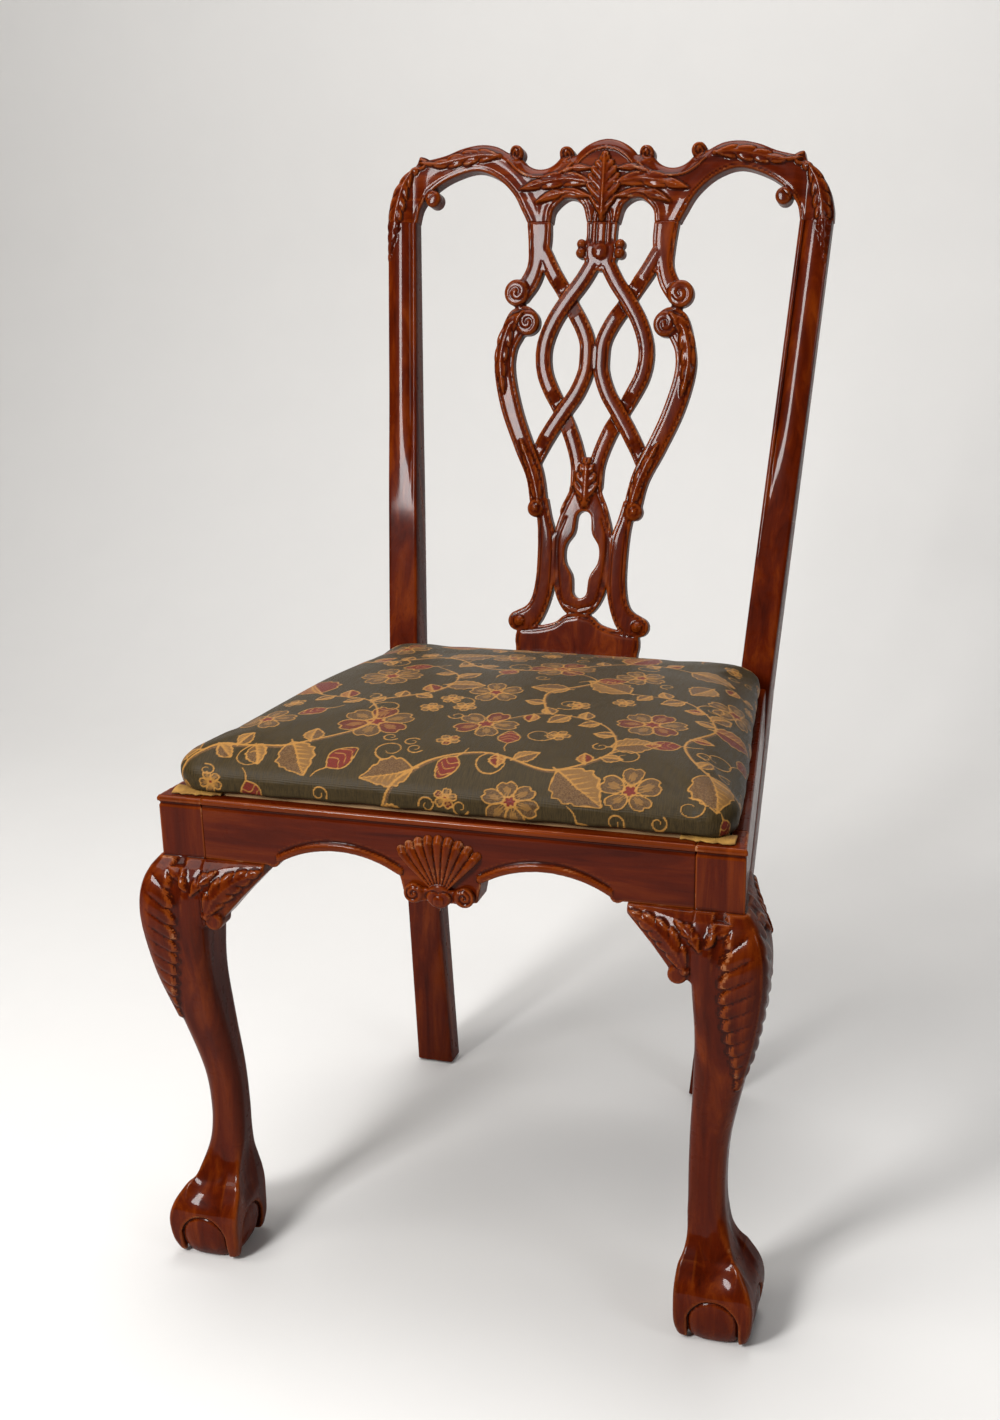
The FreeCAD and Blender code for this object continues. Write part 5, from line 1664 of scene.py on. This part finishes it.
    def close(self, obj: Piece) -> None:
        """Close the underside where the cover is drawn under the seat's frame."""
        with editing():
            bpy.ops.mesh.select_non_manifold()
            bpy.ops.mesh.edge_face_add()
        obj.data.shade_smooth()

    def build(self) -> Piece:
        """Shape, swell, refine and weave the cushion."""
        obj = self.form()
        pick(obj)
        self.swell(obj)
        self.refine(obj)
        self.puckers(obj)
        self.pattern(obj)
        self.close(obj)
        return obj


@dataclass(frozen=True)
class PlainWood:
    """Pale, unpolished wood of the hidden blocks and the seat's frame."""

    name: str = "frame_wood"
    pale: Spot = (0.46, 0.28, 0.13)
    dark: Spot = (0.33, 0.18, 0.075)

    def material(self) -> Finish:
        """Long grain with fine saw marks."""
        n = Nodes(self.name)
        grain = n.noise(n.place((2.5, 30.0, 30.0)), 3.0, 5.0, 0.6, 0.6)
        wood = n.ramp(grain, [(0.32, self.dark), (0.68, self.pale)])
        saw = n.noise(n.place((240.0, 30.0, 30.0)), 1.0, 2.0)
        return n.dress(Base_Color=wood, Roughness=n.range(saw, 0.3, 0.7, 0.6, 0.8),
                       Normal=n.bump(saw, 0.3, 0.0003))


@dataclass(frozen=True)
class Cloth:
    """Plain woven cloth."""

    name: str
    light: Spot
    dark: Spot
    threads: float
    sheen: float = 0.1

    def material(self) -> Finish:
        """Crossing threads with uneven yarn."""
        n = Nodes(self.name)
        cross = n.product(*(n.wave(axis, self.threads, 0.6) for axis in "XY"))
        yarn = n.noise(n.place((400.0, 60.0, 60.0)), 1.0, 3.0)
        tone = n.mix(n.range(yarn, 0.3, 0.7, 0.0, 1.0), self.dark, self.light)
        tone = n.mix(n.range(cross, 0.0, 0.6, 0.45, 0.0), tone, self.dark)
        return n.dress(Base_Color=tone, Roughness=n.range(yarn, 0.3, 0.7, 0.75, 0.92),
                       Normal=n.bump(cross, 0.5, 0.0004), Sheen_Weight=self.sheen)


@dataclass(frozen=True)
class Foam:
    """Aged yellow upholstery foam."""

    name: str = "aged_foam"
    pale: Spot = (0.38, 0.20, 0.035)
    dark: Spot = (0.17, 0.075, 0.012)

    def material(self) -> Finish:
        """Open cells in a crumbly yellow."""
        n = Nodes(self.name)
        cells = n.noise(n.place(), 900.0, 3.0)
        patches = n.noise(n.place(), 60.0, 2.0)
        tone = n.ramp(patches, [(0.35, self.dark), (0.62, self.pale)])
        return n.dress(Base_Color=tone, Roughness=n.range(cells, 0.3, 0.7, 0.8, 0.95),
                       Normal=n.bump(cells, 0.8, 0.0008))


@dataclass(frozen=True)
class Steel:
    """Dull zinc-plated steel of screws and staples."""

    name: str = "plated_steel"
    bright: Spot = (0.42, 0.41, 0.39)
    dull: Spot = (0.24, 0.23, 0.22)

    def material(self) -> Finish:
        """Metal with fine scratches and dull patches."""
        n = Nodes(self.name)
        patches = n.noise(n.place(), 300.0, 3.0)
        scratches = n.noise(n.place((900.0, 80.0, 80.0)), 1.0, 2.0)
        tone = n.ramp(patches, [(0.35, self.dull), (0.65, self.bright)])
        return n.dress(Base_Color=tone, Metallic=1.0, Normal=n.bump(scratches, 0.2, 0.0002),
                       Roughness=n.range(patches, 0.3, 0.7, 0.45, 0.28))


@dataclass
class SeatUnderside:
    """Webbing over the seat's frame, dust cover under it, and foam that shows at the corners."""

    front: float = 15.5
    rear: float = 440.0
    inset: float = 15.5
    frame_top: float = 478.0
    strap_width: float = 50.0
    strap_thickness: float = 1.2
    straps: int = 3
    end_gap: float = 8.0
    dust_inset: float = 25.0
    dust_thickness: float = 0.8
    dust_sag: float = 1.6
    foam_outer: float = 253.0
    foam_length: float = 46.0
    foam_front: float = 6.0
    foam_depth: float = 14.0
    foam_rise: float = 2.6
    foam_thickness: float = 1.2
    foam_clearance: float = 0.4

    @property
    def dust_run(self) -> Point:
        """Where the dust cover starts in front and ends at the back."""
        return self.front + self.dust_inset, self.rear - self.dust_inset

    @staticmethod
    def strip(name: str, x: Array, y: Array, z: Array, thickness: float) -> Piece:
        """Thin strip through a grid of points, with its thickness upwards from them.

        Args:
            name: The piece's name.
            x: Points across, in drawn millimetres.
            y: Points in depth, of a shape that fits.
            z: Heights, of a shape that fits.
            thickness: Thickness in millimetres.

        Returns:
            The strip.
        """
        spots = np.stack(np.broadcast_arrays(x, y, z), axis=2)
        obj = bent_grid(name, upright(spots.reshape(-1, 3)).reshape(spots.shape))
        wall = obj.modifiers.new("thickness", "SOLIDIFY")
        wall.thickness = thickness * MM
        wall.offset = 1.0
        bpy.ops.object.modifier_apply(modifier=wall.name)
        obj.data.shade_smooth()
        return obj

    def webbing(self) -> Piece:
        """Straps from front to back under straps from side to side, all drawn tight."""
        made = []
        pitch = 2 * SIZES.side_x(self.rear, self.inset) / (self.straps + 1)
        share = np.linspace(0, 1, 33)
        across = np.linspace(-0.5, 0.5, 7) * self.strap_width
        thick, length = self.strap_thickness, self.rear - self.front
        for i in range(self.straps):
            x = pitch * (i - (self.straps - 1) / 2) + across
            y = self.front + self.end_gap + share * (length - 2 * self.end_gap)
            made.append(self.strip(f"webbing_lengthwise_{i}", x, y[:, None], self.frame_top, thick))
        for i in range(self.straps):
            y = self.front + length * (i + 1) / (self.straps + 1) + across
            x = (2 * share - 1) * (SIZES.side_x(y.max(), self.inset) - self.end_gap)
            made.append(self.strip(f"webbing_crosswise_{i}", x, y[:, None],
                                   self.frame_top + thick, thick))
        return joined(made, "seat_webbing_woven")

    def dust_cover(self) -> Piece:
        """Thin cloth drawn over the underside, slack between its staples."""
        v, u = np.meshgrid(np.linspace(0, 1, 61), np.linspace(-1, 1, 61), indexing="ij")
        near, far = self.dust_run
        y = near + v * (far - near)
        half = SIZES.side_x(y, self.inset + self.dust_inset)
        edge = np.minimum(np.minimum(v, 1 - v) * 2, 1 - np.abs(u))
        sag = self.dust_sag * ease(0.0, 0.5, edge)
        pleat = 0.25 * np.sin(u * 40) * np.sin(v * 37)
        pleat = pleat * (1 - ease(0.05, 0.3, edge)) * ease(0.0, 0.05, edge)
        z = SIZES.rebate_floor - self.dust_thickness - np.maximum(sag + pleat, 0)
        return self.strip("seat_dust_cloth", u * half, y, z, self.dust_thickness)

    def dust_cut(self) -> tuple[Point, float]:
        """Flat size of the dust cover's cloth and its flat area, in metres and square metres."""
        near, far = self.dust_run
        widths = [2 * SIZES.side_x(y, self.inset + self.dust_inset) * MM for y in (near, far)]
        length = (far - near) * MM
        return (max(widths), length), (widths[0] + widths[1]) / 2 * length

    def foam_edge(self, side: Side) -> Piece:
        """Crumbled strip of foam that shows under the cover at a front corner."""
        run = np.linspace(0, 1, 41)[::side.value, None]
        over = np.linspace(0, 1, 9)[None, :]
        x = side.value * (self.foam_outer - self.foam_length * run)
        ragged = 0.9 * np.sin(run * 23 + side.value) + 0.6 * np.sin(run * 41 + 2) + 4.0 * run**3
        y = self.foam_front + ragged + over * (self.foam_depth - ragged)
        rise = self.foam_rise * np.sin(math.pi * np.minimum(over * 1.2, 1) * 0.5)
        z = SIZES.seat_height + self.foam_clearance + rise * (1 - 0.5 * run)
        return self.strip(f"{side.word}_foam_edge", x, y, z, self.foam_thickness)


@dataclass
class FootGlides:
    """Felt pads under the rear feet."""

    radius: float = 10.0
    height: float = 3.0
    rim: float = 0.7

    def build(self) -> Piece:
        """Two discs with worn rims."""
        low, high = (Vector(c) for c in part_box("rear_foot_glides"))
        made = []
        for x in (low.x + self.radius * MM, high.x - self.radius * MM):
            bpy.ops.object.select_all(action="DESELECT")
            bpy.ops.mesh.primitive_cylinder_add(
                vertices=48, radius=self.radius * MM, depth=self.height * MM,
                location=(x, (low.y + high.y) / 2, self.height * MM / 2))
            made.append(bpy.context.object)
            bpy.ops.object.transform_apply(location=True, rotation=True, scale=True)
            with editing("SELECT"):
                bpy.ops.mesh.bevel(offset=self.rim * MM, segments=3, affect="EDGES")
        pads = joined(made, "rear_foot_felts")
        bpy.ops.object.shade_smooth_by_angle(angle=math.radians(35))
        return pads


@dataclass(frozen=True)
class PhotoCamera:
    """Camera at the photograph's place, in drawn millimetres and degrees."""

    spot: Spot = (476.07, -1319.53, 1013.12)
    yaw: float = 17.31
    pitch: float = 19.9
    roll: float = -1.12
    focal_px: float = 1769.68
    centre_px: Point = (510.07, 782.19)
    frame_px: Point = (1000, 1420)

    def build(self) -> None:
        """Add the camera and make it the scene's."""
        yaw, pitch, roll = (math.radians(v) for v in (self.yaw, self.pitch, self.roll))
        ahead = Vector((-math.sin(yaw) * math.cos(pitch), math.cos(yaw) * math.cos(pitch),
                        -math.sin(pitch)))
        right = Vector((math.cos(yaw), math.sin(yaw), 0))
        up = right.cross(ahead)
        across = right * math.cos(roll) + up * math.sin(roll)
        above = up * math.cos(roll) - right * math.sin(roll)
        turn = Matrix((across, above, -ahead)).transposed().to_4x4()
        lens = bpy.data.cameras.new("photo_camera")
        wide, tall = self.frame_px
        lens.lens = self.focal_px * lens.sensor_width / tall
        lens.shift_x = (wide / 2 - self.centre_px[0]) / tall
        lens.shift_y = (self.centre_px[1] - tall / 2) / tall
        lens.clip_start = 0.05
        camera = bpy.data.objects.new("photo_camera", lens)
        bpy.context.scene.collection.objects.link(camera)
        spot = upright(np.array([self.spot]))[0]
        camera.matrix_world = Matrix.Translation(Vector(spot)) @ turn
        bpy.context.scene.camera = camera


@dataclass(frozen=True)
class Lamp:
    """A soft lamp, wide and tall in metres, that looks at the seat."""

    name: str
    spot: Spot
    size: Point
    watts: float
    tint: Spot = (1.0, 1.0, 1.0)
    aim: Spot = (0.0, 0.0, 0.5)

    def build(self) -> None:
        """Hang the lamp."""
        light = bpy.data.lights.new(self.name, "AREA")
        light.shape = "RECTANGLE"
        light.size, light.size_y = self.size
        light.energy = self.watts
        light.color = self.tint
        lamp = bpy.data.objects.new(self.name, light)
        bpy.context.scene.collection.objects.link(lamp)
        lamp.location = self.spot
        way = Vector(self.aim) - Vector(self.spot)
        lamp.rotation_euler = way.to_track_quat("-Z", "Y").to_euler()


@dataclass(frozen=True)
class Studio:
    """Plain pale floor that sweeps up behind the chair, soft lamps and a pale surround."""

    floor: Spot = (0.68, 0.665, 0.645)
    floor_shade: Spot = (0.62, 0.61, 0.60)
    surround: Spot = (0.80, 0.81, 0.83)
    surround_strength: float = 0.08
    half_width: float = 4.0
    near_edge: float = -3.0
    length: float = 7.0
    below_feet: float = 0.0002
    sweep_start: float = 1.1
    sweep_radius: float = 0.9
    lamps: Sequence[Lamp] = (
        Lamp("window_lamp", (-0.82, -1.98, 1.74), (0.46, 0.8), 60.0),
        Lamp("key_lamp", (-1.5, -1.3, 2.8), (1.2, 1.2), 30.0, (1.0, 0.98, 0.95)),
        Lamp("fill_lamp", (2.3, -1.2, 1.9), (0.8, 0.8), 10.0, (0.95, 0.97, 1.0)),
        Lamp("top_lamp", (-0.2, 0.4, 2.9), (1.6, 1.6), 56.0),
    )

    @staticmethod
    def open_back(n: Nodes) -> None:
        """Let the camera look through the paper's back, so that it never hides the chair."""
        behind = n.product(n.add("ShaderNodeNewGeometry").outputs["Backfacing"],
                           n.add("ShaderNodeLightPath").outputs["Is Camera Ray"])
        either = n.add("ShaderNodeMixShader")
        n.link(behind, either.inputs[0])
        n.link(n.shader.outputs[0], either.inputs[1])
        n.link(n.add("ShaderNodeBsdfTransparent").outputs[0], either.inputs[2])
        n.link(either.outputs[0], n.tree.nodes["Material Output"].inputs["Surface"])

    def build(self) -> None:
        """Lay the floor, hang the lamps and set the surround."""
        run = self.near_edge + self.length * np.linspace(0, 1, 41)[:, None]
        past = np.maximum(0.0, run - self.sweep_start)
        turn = np.minimum(past / self.sweep_radius, math.pi / 2)
        beyond = np.maximum(0.0, past - self.sweep_radius * math.pi / 2)
        reach = np.minimum(run, self.sweep_start) + self.sweep_radius * np.sin(turn)
        lift = self.sweep_radius * (1 - np.cos(turn)) + beyond - self.below_feet
        across = self.half_width * np.linspace(-1, 1, 3)
        floor = bent_grid("studio_floor",
                          np.stack(np.broadcast_arrays(across, reach, lift), axis=2))
        floor.data.shade_smooth()
        n = Nodes("studio_paper")
        tone = n.noise(n.place(), 9.0, 3.0)
        paper = n.mix(n.range(tone, 0.35, 0.65, 0.0, 0.12), self.floor, self.floor_shade)
        floor.data.materials.append(n.dress(Base_Color=paper, Roughness=0.75))
        self.open_back(n)
        for lamp in self.lamps:
            lamp.build()
        world = bpy.data.worlds.new("studio_surround")
        bpy.context.scene.world = world
        world.use_nodes = True
        back = world.node_tree.nodes["Background"]
        back.inputs["Color"].default_value = (*self.surround, 1)
        back.inputs["Strength"].default_value = self.surround_strength
        bpy.context.scene.view_settings.view_transform = "Standard"


def dress_cad(names: Sequence[str], finish: Finish) -> None:
    """Give CAD nodes that stay in view their finish."""
    for name in names:
        coat(frame["nodes"][name], finish)


def pair(right: Piece, name: str, word: str) -> Iterator[tuple[Piece, str, Grain]]:
    """A right piece and its mirrored copy on the left."""
    left = mirrored(right, f"left_{name}_{word}")
    right.name = right.data.name = f"right_{name}_{word}"
    yield right, f"right_{name}", Grain.UP
    yield left, f"left_{name}", Grain.UP


def frame_pieces() -> Iterator[tuple[Piece, str, Grain]]:
    """The frame's carved pieces in turn, each with its CAD node and its grain."""
    crest = CrestRail()
    yield BackSplat().build(), "back_splat", Grain.UP
    yield crest.build(), "crest_rail", Grain.ACROSS
    for name, right in FrontLeg().build().items():
        yield from pair(right, name, "carved")
    yield FrontRail().build(), "front_seat_rail", Grain.ACROSS
    yield ApronShell().build(), "apron_shell", Grain.UP
    yield from pair(BackPost().build(crest.carving()), "back_post", "moulded")


def main() -> None:
    """Build and dress the chair piece by piece."""
    logging.basicConfig(level=logging.INFO, format="%(message)s")
    woods = {grain: Lacquer(grain=grain).material() for grain in Grain}
    dress_cad(["left_seat_rail", "right_seat_rail"], woods[Grain.BACK])
    dress_cad(["rear_seat_rail", "splat_shoe"], woods[Grain.ACROSS])
    blocks = [f"{end}_{side.word}_corner_block" for end in ("front", "rear") for side in Side]
    slats = [f"seat_frame_{place}_rail" for place in ("front", "rear", "left", "right")]
    dress_cad(blocks + slats, PlainWood().material())
    dress_cad(["corner_block_screws", "dust_cover_staples"], Steel().material())
    for obj, node, grain in frame_pieces():
        seat_piece(obj, Body.FRAME, [node], woods[grain])
    cushion = SeatCushion().build()
    seat_piece(cushion, Body.SEAT, ["seat_cover", "seat_pad"], Jacquard().material())
    under = SeatUnderside()
    jute = Cloth("jute_webbing", (0.42, 0.30, 0.16), (0.20, 0.13, 0.065), 320.0).material()
    seat_piece(under.webbing(), Body.SEAT, ["seat_webbing"], jute)
    black = Cloth("black_cambric", (0.020, 0.020, 0.022), (0.008, 0.008, 0.009), 420.0).material()
    dust = under.dust_cover()
    seat_piece(dust, Body.SEAT, ["seat_dust_cover"], black)
    cut, area = under.dust_cut()
    yellow = Foam().material()
    for side in Side:
        foam = under.foam_edge(side)
        seat_piece(foam, Body.SEAT, [], yellow)
    felt = Cloth("pale_felt", (0.62, 0.60, 0.55), (0.44, 0.42, 0.38), 900.0, 0.3).material()
    seat_piece(FootGlides().build(), Body.FRAME, ["rear_foot_glides"], felt)
    Studio().build()
    PhotoCamera().build()


if __name__ == "__main__":
    main()
